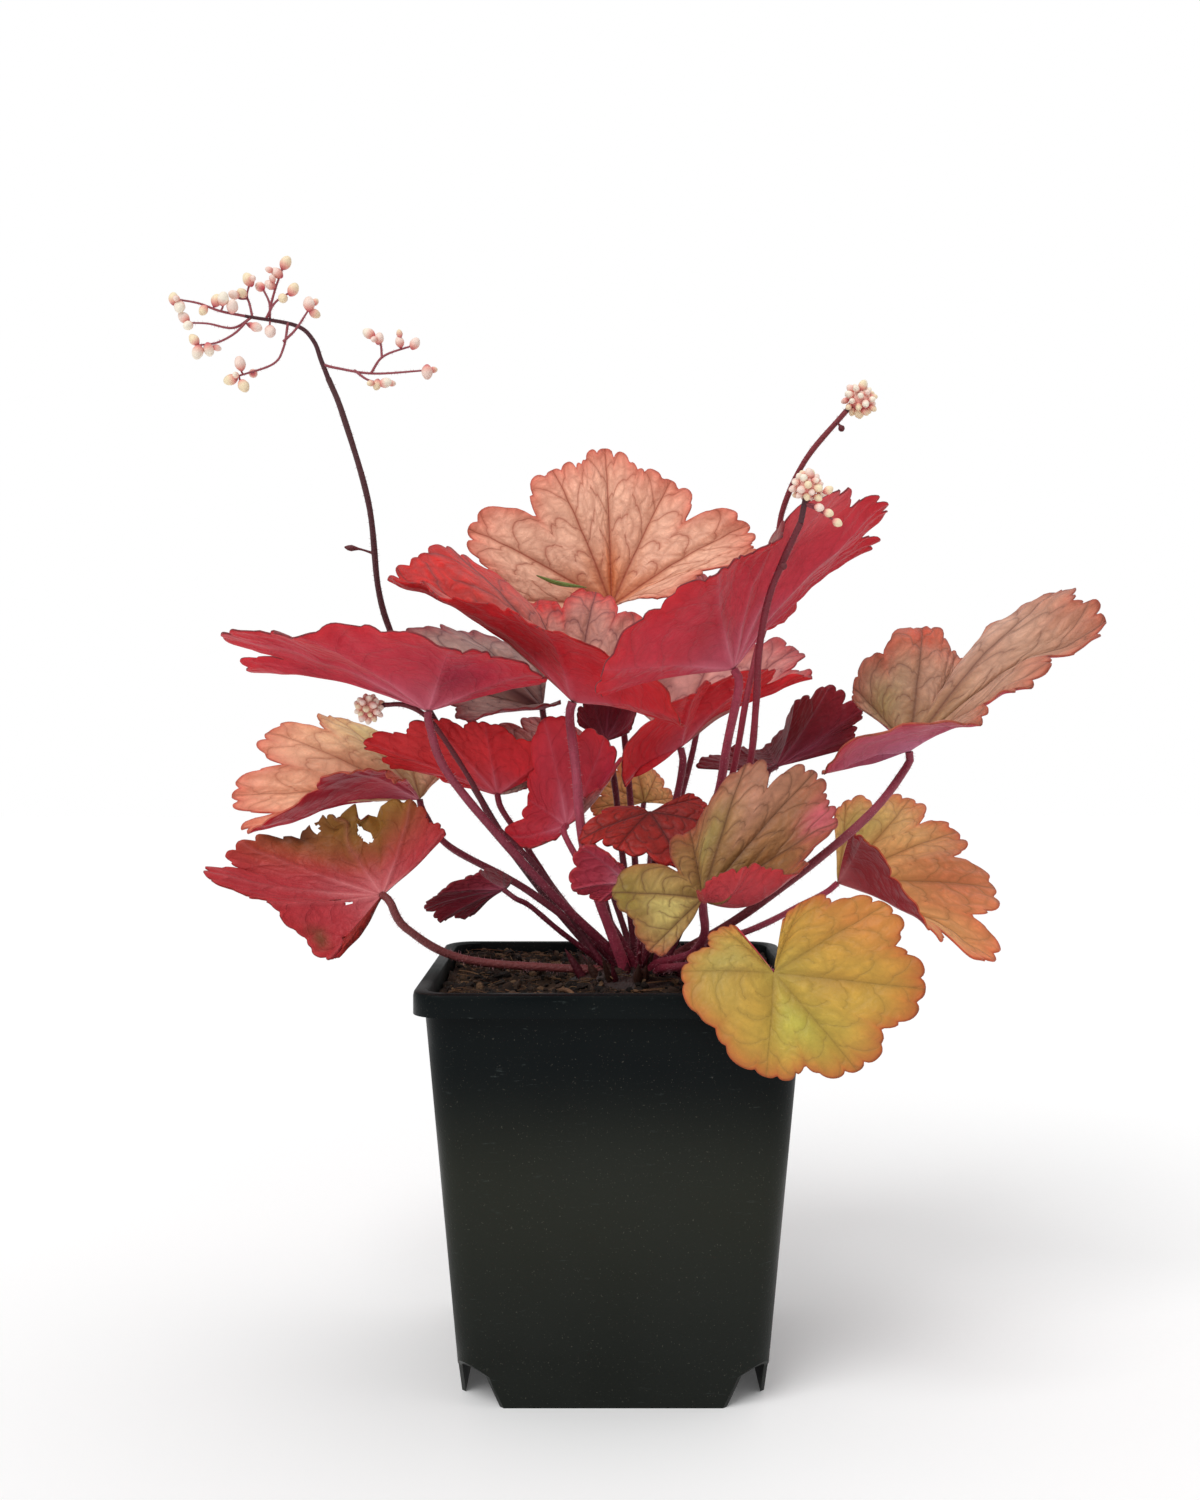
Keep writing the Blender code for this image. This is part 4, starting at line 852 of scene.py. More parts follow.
def along_lobes(values, s):
    """Values given at the lobes, blended smoothly in between; s counts the lobes."""
    n = len(values)
    p = np.vstack([2 * values[0] - values[1], values, 2 * values[-1] - values[-2]])
    i = np.clip(np.floor(s).astype(int), 0, n - 2)
    t = (s - i)[:, None]
    a, b, c, d = p[i], p[i + 1], p[i + 2], p[i + 3]
    return 0.5 * (2 * b + (c - a) * t + (2 * a - 5 * b + 4 * c - d) * t ** 2
                  + (3 * b - a - 3 * c + d) * t ** 3)


def margin(s, teeth, notch, seed):
    """Length of the blade at s as a share of its lobe's length: lobes, gaps and rounded teeth."""
    x = s - np.round(s)
    depth = np.atleast_1d(notch)
    depth = depth[np.clip(np.floor(s).astype(int), 0, len(depth) - 1)]
    lobe = 1 - depth * np.abs(2 * x) ** LOBE_BLUNT
    tooth = np.round(x * teeth)
    y = x * teeth - tooth
    uneven = 1 + 0.35 * np.sin(tooth * 2.3 + np.round(s) * 1.7 + seed)
    return lobe * (1 - TOOTH_DEPTH * uneven * np.abs(2 * y) ** 3)


def blade_frame(leaf, s):
    """The root, outward way, length and upward direction of a blade at s."""
    root = np.array(leaf["junction"], float)
    reach = np.array(leaf["tips"], float) - root
    length = np.linalg.norm(reach, axis=1, keepdims=True)
    way = unit(along_lobes(reach / length, s))
    ahead = unit(along_lobes(reach / length, s + 0.001))
    span = along_lobes(length, s)
    up = -unit(np.cross(way, ahead - way))
    return root, way, span, up


def leaf_colours(leaf, face, s, share):
    """The tint of one face: heart, middle and rim blended outwards, then its touches."""
    heart, middle, rim = (np.array(c) for c in leaf[face][:3])
    near = np.clip(share / 0.45, 0, 1)[:, None]
    far = np.clip((share - 0.62) / 0.38, 0, 1)[:, None] ** 2.2
    colours = heart + (middle - heart) * near
    colours = colours + (rim - colours) * far
    for side, lobe, out, size, colour in leaf.get("touches", ()):
        if side != face:
            continue
        d = ((s - lobe) / size) ** 2 + ((share - out) / (size * 0.45)) ** 2
        colours = colours + (np.array(colour) - colours) * np.exp(-d)[:, None]
    return colours


def noise_at(places, scale, shift):
    """Smooth noise at each place, from -1 to 1; the shift makes each leaf's its own."""
    return np.array([noise.noise(Vector(p) * scale + Vector(shift)) for p in places])


def crumpled(places, s, share):
    """The places of the withered leaf, its lobe in the middle shrivelled and curled forwards."""
    dried = np.exp(-((s - DRY_LOBE) / 0.65) ** 2) * np.clip((share - 0.45) / 0.4, 0, 1)
    shake = np.stack([noise_at(places, 0.24, shift) for shift in SHAKES], axis=1)
    places = places + shake * (dried * 3.4)[:, None]
    places[:, 1] -= 3.0 * dried
    places[:, 2] += 4.0 * dried
    return places


def waved(leaf, s, share, reach, size, seed):
    """The places of a blade with its arch, the valleys over its ribs and all its waves."""
    root, way, span, up = blade_frame(leaf, s)
    arch = np.array(leaf.get("arch", [BLADE_ARCH] * len(leaf["tips"])))[:, None]
    swell = along_lobes(arch, s)[:, 0] * 4 * reach * (1 - reach)
    places = root + span * (way * reach[:, None] + up * swell[:, None])
    offset = s - np.round(s)
    aside = offset * share * LOBE_SPAN / GROOVE_WIDTH
    groove = -GROOVE_DEPTH * np.exp(-aside ** 2) * np.minimum(1, share * 6)
    ripple = MARGIN_RIPPLE * size * share ** 4 * np.sin(offset * 2 * math.pi * 5 + seed)
    wave = LOBE_WAVE * share ** 2 * np.cos(offset * 2 * math.pi)
    drift = noise_at(places, 0.055, (seed, 0, 0))
    quilt = noise_at(places, 0.17, (0, seed, 0))
    rise = groove * size + ripple - wave * size
    rise += BLADE_DRIFT * size * drift * share ** 1.5 + QUILTING * size * quilt * share
    places = places + up * rise[:, None]
    return crumpled(places, s, share) if leaf.get("dry") else places


def lay_colours(mesh, leaf, s, share, plan):
    """The blade's two maps for its veins, and the tint and vein colour of each face."""
    corners = np.empty(len(mesh.loops), dtype=int)
    mesh.loops.foreach_get("vertex_index", corners)
    while mesh.uv_layers:
        mesh.uv_layers.remove(mesh.uv_layers[0])
    for layer_name, values in (("plan", plan), ("run", np.stack([s, share], axis=1))):
        layer = mesh.uv_layers.new(name=layer_name)
        layer.data.foreach_set("uv", values[corners].ravel())
    for face in ("upper", "under"):
        colour_layer(mesh, face + "_tint", leaf_colours(leaf, face, s, share))
        colour_layer(mesh, face + "_vein", leaf[face][3], leaf.get("veined", 1.0))


def leaf_blade(name, leaf, seed):
    """A blade from a grid: round the lobes one way, out from the junction the other."""
    count = len(leaf["tips"])
    sinus = leaf.get("sinus", SINUS)
    lobes_wide = count - 1 + 2 * sinus
    longest = max(math.dist(t, leaf["junction"]) for t in leaf["tips"])
    large = longest > LARGE_LEAF
    around = LOBE_STEPS * (count if large else count // 2 + 2)
    outward, teeth = (30, 4) if large else (18, 3)
    start_fresh()
    bpy.ops.mesh.primitive_grid_add(x_subdivisions=around, y_subdivisions=outward, size=2)
    blade = bpy.context.object
    grid = places_of(blade.data)
    s = -sinus + (grid[:, 0] + 1) / 2 * lobes_wide
    share = ((1 - grid[:, 1]) / 2) ** 0.85
    reach = share * margin(s, teeth, leaf.get("notch", LOBE_NOTCH), seed)
    places = waved(leaf, s, share, reach, longest / MIDDLING_LEAF, seed)
    set_places(blade.data, places * MM)
    _, _, span, up = blade_frame(leaf, s)
    turn = (s - 0.5 * (count - 1)) * (FAN / lobes_wide)
    flat = np.stack([np.sin(turn), np.cos(turn)], axis=1) * (reach * float(span.mean()))[:, None]
    lay_colours(blade.data, leaf, s, share, flat + seed * 37.0)
    bpy.ops.object.mode_set(mode="EDIT")
    if leaf.get("dry"):
        bm = bmesh.from_edit_mesh(blade.data)
        tear = [f for f in bm.faces if in_tear(f, s, share)]
        bmesh.ops.delete(bm, geom=tear, context="FACES")
        bmesh.update_edit_mesh(blade.data)
    bpy.ops.mesh.select_all(action="SELECT")
    bpy.ops.mesh.remove_doubles(threshold=0.03 * MM)
    bpy.ops.object.mode_set(mode="OBJECT")
    normals = np.array([f.normal for f in blade.data.polygons])
    if (normals @ up.mean(axis=0)).mean() < 0:
        blade.data.flip_normals()
    blade.data.materials.append(LEAF_UPPER)
    blade.data.materials.append(LEAF_UNDER)
    shell = blade.modifiers.new("thickness", "SOLIDIFY")
    shell.thickness = BLADE * MM
    shell.offset = 0.0
    shell.material_offset = 1
    shell.material_offset_rim = 0
    apply_all(blade)
    shade_smooth(blade)
    return keep(blade, name + "_veined", [], name)


def in_tear(face, s, share):
    """Whether a face lies in one of the holes of the withered leaf."""
    ids = [v.index for v in face.verts]
    lobe = sum(s[i] for i in ids) / len(ids)
    out = sum(share[i] for i in ids) / len(ids)
    ragged = 0.25 * math.sin(lobe * 40) * math.cos(out * 50)
    return any(((lobe - at) / wide) ** 2 + ((out - reach) / deep) ** 2 + ragged < 1
               for at, reach, wide, deep in TEARS)


def under_junction(leaf, distance):
    """The place at this distance under the junction, square to the blade."""
    s = np.linspace(0, len(leaf["tips"]) - 1, 25)
    root, _, _, up = blade_frame(leaf, s)
    return root - unit(up.mean(axis=0)) * distance


def way_in(leaf, last):
    """The place before a junction where a stalk turns from its own way to the blade's."""
    root = np.array(leaf["junction"], float)
    own = unit(root - np.array(last, float))
    square = unit(root - under_junction(leaf, 1.0))
    return root - unit(own * OWN_SHARE + square * (1 - OWN_SHARE)) * APPROACH


# Stalks, crown and hairs

HAIRS = Heap()


def add_hairs(places, radii, per_mm, length, colour):
    """Short straight hairs standing out of a bar all round."""
    steps = np.linalg.norm(np.diff(places, axis=0), axis=1)
    total = float(steps.sum())
    way = unit(np.gradient(places, axis=0))
    for _ in range(int(total * per_mm)):
        at = rng.random() * (len(places) - 1.001)
        k = int(at)
        root = places[k] + (places[k + 1] - places[k]) * (at - k)
        out = unit(np.cross(way[k], [rng.gauss(0, 1), rng.gauss(0, 1), rng.gauss(0, 1)]))
        long = length * rng.uniform(0.5, 1.2)
        base = root + out * radii[k] * 0.85
        tip = base + (out + way[k] * rng.uniform(-0.3, 0.3)) * long
        side = unit(np.cross(out, way[k])) * HAIR_HALF
        along = way[k] * HAIR_HALF
        HAIRS.add([base + side, base - side * 0.5 + along, base - side * 0.5 - along, tip],
                  [(0, 1, 3), (1, 2, 3), (2, 0, 3), (2, 1, 0)], colour)


def stalk_colours(low, high, rows, sides=STALK_SIDES):
    share = np.repeat(np.linspace(0, 1, rows), sides)[:, None]
    return np.array(low) + (np.array(high) - np.array(low)) * share ** 1.2


def leaf_stalks():
    """The woody crown, its sheaths and all the leaf stalks."""
    heap = Heap()
    for name, (radius, points, low, high) in STALKS.items():
        leaf = LEAVES[name]
        foot = np.array(points[0], float)
        heart = np.array(CROWN_CENTRE)
        sunk = heart + (foot - heart) * 0.45
        sunk[2] = CROWN_CENTRE[2] + 1.0
        end = under_junction(leaf, 0.2)
        route = through([sunk] + points + [way_in(leaf, points[-1]), end], STALK_ROWS)
        share = np.linspace(0, 1, STALK_ROWS)
        radii = radius * (1 + 0.35 * np.clip(1 - share * 4, 0, 1) - 0.12 * share)
        radii *= 1 + 0.03 * np.sin(share * 37 + radius * 9)
        heap.bar(route, radii, STALK_SIDES, stalk_colours(low, high, STALK_ROWS))
        add_hairs(route[4:], radii[4:], 5.0, 1.1, srgb(206, 150, 158))
    for name, (radius, _) in FLOWER_STALKS.items():
        route = flower_route(name)
        start = route[0] + (np.array(CROWN_CENTRE) - route[0]) * 0.5
        stub = through(np.vstack([start, route[0], route[8], route[STUB_END]]), STUB_ROWS)
        heap.bar(stub, np.full(STUB_ROWS, radius * 1.1), STALK_SIDES,
                 stalk_colours(WINE, DARK_STALK, STUB_ROWS))
    start_fresh()
    bpy.ops.mesh.primitive_uv_sphere_add(segments=40, ring_count=24, radius=1)
    ball, faces = taken_shape()
    rough = np.array([1 + 0.14 * noise.noise(Vector(p) * 3.2) for p in ball])[:, None]
    mound = np.array(CROWN_CENTRE) + ball * np.array(CROWN_SIZE) * rough * 0.98
    heap.add(mound, faces, srgb(48, 28, 25))
    for k in range(SHEATHS):
        turn = k * 2.4
        wide = rng.uniform(0.35, 0.95)
        base = np.array(CROWN_CENTRE) + np.array([
            CROWN_SIZE[0] * wide * math.cos(turn), CROWN_SIZE[1] * wide * math.sin(turn), 4.0])
        lean = np.array([math.cos(turn), math.sin(turn), 1.6]) * rng.uniform(1.6, 3.4)
        route = through([base - lean * 0.6, base + lean * 0.6, base + lean * 1.7], 8)
        radii = np.array([1.0, 1.25, 1.35, 1.3, 1.1, 0.85, 0.5, 0.12]) * rng.uniform(0.7, 1.2)
        shade = rng.choice((srgb(84, 24, 36), srgb(104, 38, 46), srgb(66, 40, 32)))
        heap.bar(route, radii, 8, shade)
    heap.keep("crown_and_stalks_hairy", STALK, "crown_and_leaf_stalks", "stalk_maroon")


def flower_route(name):
    return through(FLOWER_STALKS[name][1], FLOWER_STALK_ROWS)


def flower_stalks():
    """The flower stalks above the crown, each with its bract where it has one."""
    for name, (radius, _) in FLOWER_STALKS.items():
        route = flower_route(name)[STUB_END:]
        rows = len(route)
        share = np.linspace(0, 1, rows)
        radii = radius * (1.02 - 0.18 * share) * (1 + 0.04 * np.sin(share * 50))
        heap = Heap()
        heap.bar(route, radii, STALK_SIDES, stalk_colours(*FLOWER_STALK_COLOURS[name], rows))
        add_hairs(route, radii, 3.5, 0.8, srgb(170, 120, 124))
        if name in SIDE_BRACTS:
            root, place = (np.array(p) for p in SIDE_BRACTS[name])
            middle = (root + place) / 2 + (0, 0, 0.4)
            bract = through([root, middle, place, place * 1.1 - root * 0.1], 9)
            heap.bar(bract, [0.5, 0.42, 0.36, 0.34, 0.4, 0.7, 1.05, 0.85, 0.25], 8,
                     srgb(104, 44, 50))
        heap.keep(name + "_round", STALK, name, "flower_stalk")


# Buds

def bud_shape():
    """One closed bud: a rounded calyx narrowing to its stalk, with a blunt creamy tip."""
    start_fresh()
    bpy.ops.mesh.primitive_uv_sphere_add(segments=10, ring_count=9, radius=1)
    ball, faces = taken_shape()
    height = ball[:, 2:3].copy()
    wide = np.where(height < 0, 1.0 - 0.28 * height ** 2, 1.0 - 0.12 * height)
    ball[:, :2] *= wide
    turn = np.arctan2(ball[:, 1], ball[:, 0])[:, None]
    ball[:, :2] *= 1 + 0.05 * np.cos(5 * turn) * (1 - np.abs(height))
    return ball, faces, height[:, 0]


def turn_to(direction):
    """The turn that sets a shape's own upward way along this direction."""
    quat = Vector(direction).to_track_quat("Z", "Y")
    return np.array(quat.to_matrix())


def add_bud(heap, shape, place, size, direction, pink):
    """One bud, crimson at its base and creamy at its tip; a pinker one is less creamy."""
    ball, faces, height = shape
    points = (ball * np.array(size)) @ turn_to(direction).T + place
    base = np.array(srgb(200, 62, 88)) * rng.uniform(0.75, 1.1)
    tip = np.array(rng.choice((srgb(252, 244, 226), srgb(248, 232, 196), srgb(248, 226, 214))))
    blush = np.array(srgb(238, 170, 156))
    share = np.clip((height + 1) / 2 * (1.9 - 0.9 * pink), 0, 1)[:, None]
    colours = np.where(share < 0.4, base + (blush - base) * share / 0.4,
                       blush + (tip - blush) * (share - 0.4) / 0.6)
    heap.add(points, faces, colours)


def flower_spray():
    """The open spray: twigs, buds on short stalks, and smaller buds beside some of them."""
    shape = bud_shape()
    heap = Heap()
    for k, points in enumerate(SPRAY_TWIGS):
        route = through(points, TWIG_ROWS)
        thick, thin, colour = (0.8, 0.5, DARK_STALK) if k == 0 else (0.42, 0.28, TWIG)
        radii = np.linspace(thick, thin, TWIG_ROWS)
        heap.bar(route, radii, 8, colour)
        add_hairs(route, radii, 4.0, 0.6, srgb(210, 160, 160))
    twigs = np.vstack([through(t, 60) for t in SPRAY_TWIGS])
    for bud in SPRAY_BUDS:
        place = np.array(bud, float)
        near = twigs[np.argmin(np.linalg.norm(twigs - place, axis=1))]
        away = unit(place - near + np.array([0, 0, 0.4]))
        if np.linalg.norm(place - near) > 1.0:
            bend = (near + place) / 2 + np.array([rng.uniform(-0.4, 0.4), 0.2, -0.5])
            heap.bar(through([near, bend, place], 8), np.full(8, 0.3), 7, TWIG)
        grown = rng.uniform(0.85, 1.12)
        add_bud(heap, shape, place, (1.6 * grown, 1.6 * grown, 2.1 * grown), away,
                rng.uniform(0.0, 0.6))
        if rng.random() < 0.45:
            beside = place + unit(np.array([rng.uniform(-1, 1), rng.uniform(-1, 1),
                                            rng.uniform(-0.3, 1)])) * 2.4
            add_bud(heap, shape, beside, (1.0, 1.0, 1.35), unit(beside - near + 0.01), 0.9)
    heap.keep("flower_spray_tall_buds", BUDS, "flower_spray_tall", "buds")


def flower_heads():
    """The three closed heads, their buds laid round a small core."""
    shape = bud_shape()
    for name, (stalk, centre, half, buds, loose) in HEADS.items():
        heap = Heap()
        middle = np.array(centre)
        end = flower_route(stalk)[-1]
        for bud in loose:
            place = np.array(bud, float)
            root = (end + middle) / 2
            thread = through([root, (root + place) / 2 + (0, 0, 0.5), place], 8)
            heap.bar(thread, np.full(8, 0.3), 7, TWIG)
            add_bud(heap, shape, place, (1.2, 1.2, 1.55), unit(place - root), 0.2)
        heap.bar(through([end, (end + middle) / 2, middle], 8), np.full(8, 0.8), 10, DARK_STALK)
        add_bud(heap, shape, middle, np.array(half) * 0.85, (0, 0, 1), 1.0)
        for k in range(buds):
            level = 1 - 2 * (k + 0.5) / buds
            swing = k * GOLDEN_ANGLE
            wide = math.sqrt(1 - level * level)
            out = np.array([wide * math.cos(swing), wide * math.sin(swing), level])
            place = middle + out * np.array(half) * rng.uniform(0.82, 1.16)
            grown = rng.uniform(0.72, 1.15)
            lean = unit(out + np.array([rng.uniform(-0.4, 0.4) for _ in range(3)]))
            add_bud(heap, shape, place, (1.1 * grown, 1.1 * grown, 1.55 * grown), lean,
                    rng.uniform(0.0, 1.0))
        heap.keep(name + "_buds", BUDS, name, "buds")


# Pot

def square_cup(name, path, open_ends):
    """A square with rounded corners, extruded and scaled along (half width, height) steps.

    It has a floor at its first step, unless its ends are open.
    """
    start_fresh()
    half, height = path[0]
    bpy.ops.mesh.primitive_plane_add(size=2 * half * MM)
    cup = bpy.context.object
    cup.name = name
    edit_all()
    bpy.ops.transform.translate(value=(0, 0, height * MM))
    bpy.ops.mesh.bevel(offset=POT_CORNER * MM, segments=9, affect="VERTICES")
    for wide, level in path[1:]:
        rise = {"value": (0, 0, (level - height) * MM)}
        bpy.ops.mesh.extrude_region_move(TRANSFORM_OT_translate=rise)
        share = wide / half
        bpy.ops.transform.resize(value=(share, share, 1), center_override=(0, 0, level * MM))
        half, height = wide, level
    bpy.ops.mesh.delete(type="FACE")
    if open_ends:
        bpy.ops.mesh.select_all(action="DESELECT")
        bm = bmesh.from_edit_mesh(cup.data)
        for face in bm.faces:
            face.select = len(face.verts) > 4
        bmesh.update_edit_mesh(cup.data)
        bpy.ops.mesh.delete(type="FACE")
    bpy.ops.mesh.select_all(action="SELECT")
    bpy.ops.mesh.normals_make_consistent(inside=False)
    bpy.ops.object.mode_set(mode="OBJECT")
    shell = cup.modifiers.new("wall", "SOLIDIFY")
    shell.thickness = WALL * MM
    shell.offset = 0.0
    shell.use_even_offset = True
    apply_all(cup)
    return cup


def cut_or_join(piece, others, operation):
    for other in others:
        step = piece.modifiers.new(operation.lower(), "BOOLEAN")
        step.operation = operation
        step.solver = "EXACT"
        step.object = other
    apply_all(piece)
    for other in others:
        bpy.data.objects.remove(other, do_unlink=True)


def corner_block(quarter):
    """A block that opens one bottom corner of the pot and leaves a foot under each side."""
    start_fresh()
    bpy.ops.mesh.primitive_cube_add(size=2)
    block = bpy.context.object
    turn = math.radians(45 + 90 * quarter)
    edit_all()
    bpy.ops.mesh.subdivide(number_cuts=1)
    bpy.ops.object.mode_set(mode="OBJECT")
    for v in block.data.vertices:
        level, across = CORNER_OPENING[int(round(v.co.z)) + 1]
        reach = across / math.sqrt(2) + (v.co.x + 1) / 2 * 40
        x, y = reach, v.co.y * 45.0
        v.co = Vector((x * math.cos(turn) - y * math.sin(turn),
                       x * math.sin(turn) + y * math.cos(turn), level)) * MM
    return block


def pot():
    """A thin-walled tapered square pot with a turned-down rim and a foot under each side."""
    inset = WALL / 2
    lip = RIM_HALF - inset
    top = POT_HEIGHT - inset
    under_rim = POT_HEIGHT - RIM_DROP
    body = square_cup("pot", [
        (WALL_FOOT_HALF - inset, FLOOR_Z + inset), (WALL_TOP_HALF - inset, under_rim),
        (WALL_TOP_HALF - inset + 0.4, top - 0.3), (WALL_TOP_HALF - inset + 0.8, top),
        (lip - 0.7, top), (lip - 0.15, top - 0.2), (lip, top - 0.8), (lip, under_rim)], False)
    feet = square_cup("feet", [(FOOT_HALF - inset, 0.0), (WALL_FOOT_HALF - inset, FLOOR_Z + 0.8)],
                      True)
    for v in feet.data.vertices:
        if v.co.z < 0.3 * MM:      # the wall leans, so its thickness tilts its lower edge
            v.co.z = 0.0
    cut_or_join(feet, [corner_block(quarter) for quarter in range(4)], "DIFFERENCE")
    cut_or_join(body, [feet], "UNION")
    drains = []
    for x, y in DRAINS:
        start_fresh()
        bpy.ops.mesh.primitive_cylinder_add(vertices=28, radius=DRAIN_RADIUS * MM, depth=8 * MM)
        drain = bpy.context.object
        for v in drain.data.vertices:
            v.co += Vector((x, y, FLOOR_Z)) * MM
        drains.append(drain)
    cut_or_join(body, drains, "DIFFERENCE")
    edge = body.modifiers.new("edge", "BEVEL")
    edge.width = 0.25 * MM
    edge.segments = 2
    edge.limit_method = "ANGLE"
    edge.angle_limit = math.radians(50)
    apply_all(body)
    shade_smooth(body, 32)
    keep(body, "pot_moulded", [POT], "pot")


# Peat and what lies in it

def soil_height(x, y):
    """Lumpy peat: a few waves of different lengths, flat near the pot wall."""
    wave = (math.sin(x * 0.31 + 1.3) * math.cos(y * 0.27 - 0.4)
            + 0.7 * math.sin(x * 0.62 - y * 0.55 + 2.0)
            + 0.5 * math.sin(y * 0.93 + x * 0.21))
    rise = 1.6 * math.exp(-((x - 6) ** 2 + y ** 2) / 900)
    edge = min(1.0, (48 - max(abs(x), abs(y))) / 12)
    return SOIL_TOP + 0.75 * wave * max(0.0, edge) + rise


def peat_height(x, y):
    """The peat's top as it shows: crumbly, and drawn up against the rim behind and at the left."""
    crumb = noise.fractal(Vector((x * 0.22, y * 0.22, 3.1)), 0.9, 2.1, 5)
    lump = noise.noise(Vector((x * 0.09, y * 0.09, 9.4)))
    behind = min(1.0, max(0.0, (y - 14) / 26))
    beside = min(1.0, max(0.0, (-x - 24) / 20))
    bank = BANK * max(behind, beside * 0.6) ** 1.5
    return soil_height(x, y) + 1.3 * crumb + 1.2 * lump + bank


def soil():
    """The peat from wall to wall, with its lumpy top and the slope of the pot's sides."""
    half = WALL_FOOT_HALF + (WALL_TOP_HALF - WALL_FOOT_HALF) * 0.99 - WALL - SOIL_GAP
    low = WALL_FOOT_HALF - WALL - SOIL_GAP
    start_fresh()
    bpy.ops.mesh.primitive_grid_add(x_subdivisions=SOIL_STEPS, y_subdivisions=SOIL_STEPS, size=2)
    filling = bpy.context.object
    corner = POT_CORNER - WALL
    for v in filling.data.vertices:
        x, y = v.co.x * half, v.co.y * half
        inner = half - corner
        over = math.hypot(max(0.0, abs(x) - inner), max(0.0, abs(y) - inner))
        if abs(x) > inner and abs(y) > inner and over > corner:
            x = math.copysign(inner + (abs(x) - inner) * corner / over, x)
            y = math.copysign(inner + (abs(y) - inner) * corner / over, y)
        v.co = Vector((x, y, peat_height(x, y))) * MM
    edit_all()
    bpy.ops.mesh.region_to_loop()
    bpy.ops.mesh.extrude_region_move(
        TRANSFORM_OT_translate={"value": (0, 0, (FLOOR_Z + WALL + SOIL_GAP - SOIL_TOP) * MM)})
    share = low / half
    bpy.ops.transform.resize(value=(share, share, 0), center_override=(
        0, 0, (FLOOR_Z + WALL + SOIL_GAP) * MM))
    bpy.ops.mesh.edge_face_add()
    bpy.ops.mesh.select_all(action="SELECT")
    bpy.ops.mesh.normals_make_consistent(inside=False)
    bpy.ops.object.mode_set(mode="OBJECT")
    shade_smooth(filling, 60)
    keep(filling, "soil_peat", [PEAT], "soil")


def litter_place():
    """A place on the peat or on the foot of the crown, clear of the crown's middle."""
    while True:
        x, y = (rng.uniform(-LITTER_REACH, LITTER_REACH) for _ in range(2))
        across = (x - CROWN_CENTRE[0]) / CROWN_SIZE[0]
        inside = across ** 2 + (y / CROWN_SIZE[1]) ** 2
        if inside > 0.3:
            mound = CROWN_CENTRE[2] + CROWN_SIZE[2] * math.sqrt(max(0.0, 1 - inside))
            return x, y, max(peat_height(x, y), mound if inside < 1 else 0.0)


def peat_crumbs():
    """Crumbs, fibres and straws lying on the peat."""
    start_fresh()
    bpy.ops.mesh.primitive_ico_sphere_add(subdivisions=1, radius=1)
    ball, faces = taken_shape()
    heap = Heap()
    shades = (srgb(36, 27, 22), srgb(48, 36, 28), srgb(64, 48, 37), srgb(82, 62, 46),
              srgb(28, 22, 19), srgb(34, 26, 22), srgb(110, 86, 62))
    straws = (srgb(128, 98, 68), srgb(92, 67, 47), srgb(62, 45, 34), srgb(50, 37, 30),
              srgb(104, 74, 50))
    for _ in range(CRUMB_COUNT):
        x, y, z = litter_place()
        size = rng.choice(CRUMB_SIZES)
        knobs = np.array([[rng.uniform(0.7, 1.25)] for _ in range(len(ball))])
        stretch = np.array([rng.uniform(0.7, 1.5), rng.uniform(0.7, 1.2), rng.uniform(0.5, 0.9)])
        spin = turn_to((rng.gauss(0, 1), rng.gauss(0, 1), rng.gauss(0, 1)))
        lump = (ball * knobs * stretch * size) @ spin.T
        heap.add(lump + (x, y, z + 0.25 * size), faces, rng.choice(shades))
    for _ in range(FIBRE_COUNT):
        x, y, z = litter_place()
        short = rng.random() < 0.85
        long = rng.uniform(2.5, LONG_FIBRE) if short else rng.uniform(LONG_FIBRE, 16)
        turn = rng.uniform(0, math.tau)
        way = np.array([math.cos(turn), math.sin(turn), 0.0]) * long / 2
        bow = np.array([-way[1], way[0], 0]) * rng.uniform(-0.35, 0.35)
        start = np.array([x, y, z + rng.uniform(-0.2, 0.5)]) - way
        end = np.array([x, y, z + rng.uniform(-0.2, 1.1)]) + way
        for tip in (start, end):
            tip[:2] = np.clip(tip[:2], -FIBRE_REACH, FIBRE_REACH)
        middle = (start + end) / 2 + bow + (0, 0, 0.3)
        thick = rng.uniform(0.07, 0.17) if long < LONG_FIBRE else rng.uniform(0.14, 0.26)
        heap.bar(through([start, middle, end], 6), np.full(6, thick), 4, rng.choice(straws))
    heap.keep("peat_crumbs_and_fibres", CRUMBS, None, "peat")


def litter():
    """The two dead stalks and the pebble."""
    for name, (radius, points) in DEAD_STALKS.items():
        step = np.arange(TWIG_ROWS)
        uneven = radius * (1 + 0.16 * np.sin(step * 1.9) * np.cos(step * 0.7))
        uneven[0] *= 0.7
        uneven[-1] *= 0.55
        heap = Heap()
        heap.bar(through(points, TWIG_ROWS), uneven, 9,
                 stalk_colours(srgb(96, 66, 46), srgb(138, 104, 72), TWIG_ROWS, 9))
        heap.keep(name + "_dry", DRY, name, "dead_stalk")
    start_fresh()
    bpy.ops.mesh.primitive_ico_sphere_add(subdivisions=4, radius=1)
    stone = bpy.context.object
    for v in stone.data.vertices:
        dent = 1 + 0.1 * noise.noise(v.co * 2.1) + 0.03 * noise.noise(v.co * 7)
        from_middle = Vector(c * s * dent for c, s in zip(v.co, PEBBLE_SIZE))
        v.co = (Vector(PEBBLE_CENTRE) + from_middle) * MM
    colour_layer(stone.data, "tint", srgb(206, 186, 150))
    shade_smooth(stone)
    keep(stone, "pebble_worn", [DRY], "pebble")


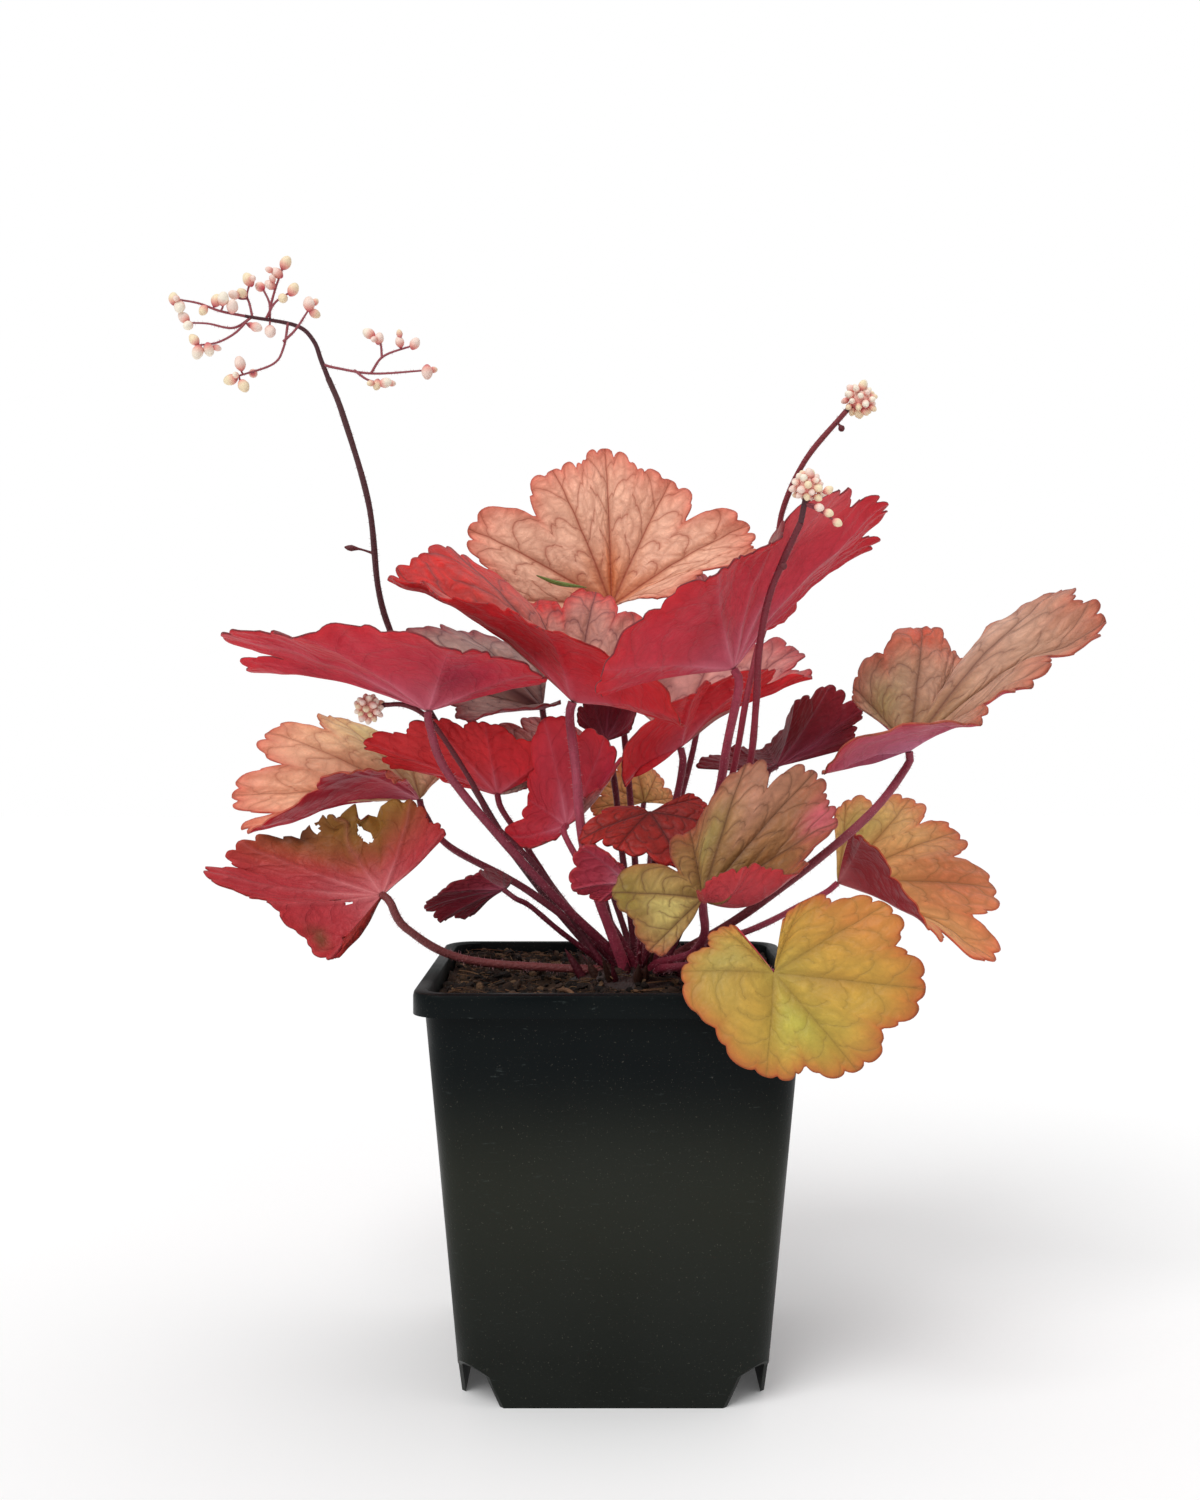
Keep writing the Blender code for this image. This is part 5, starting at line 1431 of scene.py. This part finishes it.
def grass_blade():
    """A stray blade of grass lying on the topmost leaf."""
    route = through([(-24, 17, 240.5), (-17, 17, 238), (-8, 15, 236.5)], 14)
    heap = Heap()
    heap.bar(route, 0.75 * np.sin(np.linspace(0.25, 3.0, 14)), 6, srgb(106, 124, 56))
    heap.keep("stray_grass_blade", STALK, None, "blade_olive")


# Stage, light and camera

def stage():
    start_fresh()
    bpy.ops.mesh.primitive_grid_add(x_subdivisions=12, y_subdivisions=12, size=6)
    floor = bpy.context.object
    floor.name = "studio_floor"
    paint, n, shader = new_material("studio_floor_paper", 0.8)
    place = n.add("ShaderNodeTexCoord").outputs["Object"]
    clouds = n.group(MOTTLE, Place=place, Blotch_scale=1.5, Speck_scale=500.0)
    tone = n.mix(clouds.outputs["Blotches"], srgb(247, 247, 247), srgb(250, 250, 250))
    tone = n.mix(n.times(clouds.outputs["Specks"], 0.1), tone, srgb(240, 240, 240))
    n.join(tone, shader.inputs["Base Color"])
    shader.inputs["Specular IOR Level"].default_value = 0.1
    shader.inputs["Emission Color"].default_value = (1.0, 1.0, 1.0, 1.0)
    shader.inputs["Emission Strength"].default_value = 0.06
    floor.data.materials.append(paint)
    world = bpy.context.scene.world or bpy.data.worlds.new("studio")
    bpy.context.scene.world = world
    world.use_nodes = True
    n = Nodes(world.node_tree)
    back = world.node_tree.nodes["Background"]
    back.inputs["Color"].default_value = (1.0, 1.0, 1.0, 1.0)
    seen = n.add("ShaderNodeLightPath").outputs["Is Camera Ray"]
    n.join(n.ramp(seen, 0.0, 1.0, 0.5, 1.0), back.inputs["Strength"])


def soft_sun(name, toward, strength, spread):
    """A wide soft light from far off; toward points from the plant to the light."""
    start_fresh()
    bpy.ops.object.light_add(type="SUN", location=toward)
    light = bpy.context.object
    light.name = name
    light.rotation_euler = Vector(toward).to_track_quat("Z", "Y").to_euler()
    light.data.energy = strength
    light.data.angle = math.radians(spread)


def camera():
    start_fresh()
    bpy.ops.object.camera_add(location=(Vector(CAMERA_PLACE) + Vector(POT_PLACE)) * MM)
    eye = bpy.context.object
    eye.name = "photo_camera"
    eye.data.sensor_fit = "HORIZONTAL"
    eye.data.sensor_width = SENSOR
    eye.data.lens = FOCAL_PIXELS / IMAGE[0] * SENSOR
    drop = math.degrees(math.atan((IMAGE[1] / 2 - HORIZON_ROW) / FOCAL_PIXELS))
    eye.rotation_euler = (math.radians(90 - drop), 0, 0)
    eye.data.clip_start = 0.01
    bpy.context.scene.camera = eye
    bpy.context.scene.view_settings.view_transform = "Standard"
    bpy.context.scene.view_settings.look = "None"


LEAF_UPPER = leaf_material("upper", (0.95, 0.75, 0.34), 0.55, 0.46)
LEAF_UNDER = leaf_material("under", (0.95, 0.5, 0.35), 0.5, 0.5)
STALK = tinted_material("stalk_skin", 0.5, 240.0, 1500.0, 0.35)
BUDS = tinted_material("bud_skin", 0.45, 320.0, 1800.0, 0.2, (0.92, 0.8, 0.8), (1.08, 1.05, 1.0))
CRUMBS = tinted_material("peat_litter", 0.9, 400.0, 1600.0, 0.6)
DRY = tinted_material("dry_litter", 0.75, 260.0, 1500.0, 0.6)
HAIR = tinted_material("stalk_hairs", 0.6, 200.0, 900.0, 0.1)
PEAT = peat_material()
POT = pot_material()

for number, (name, leaf) in enumerate(LEAVES.items()):
    blade = leaf_blade(name, leaf, number)
leaf_stalks()
flower_stalks()
flower_spray()
flower_heads()
pot()
soil()
peat_crumbs()
litter()
grass_blade()
HAIRS.keep("stalk_hairs_fine", HAIR, None, "stalk_maroon")
stage()
soft_sun("key_light", (-0.5, -0.8, 1.1), 1.5, 35)
soft_sun("top_light", (0.35, 0.2, 1.0), 0.6, 60)
camera()
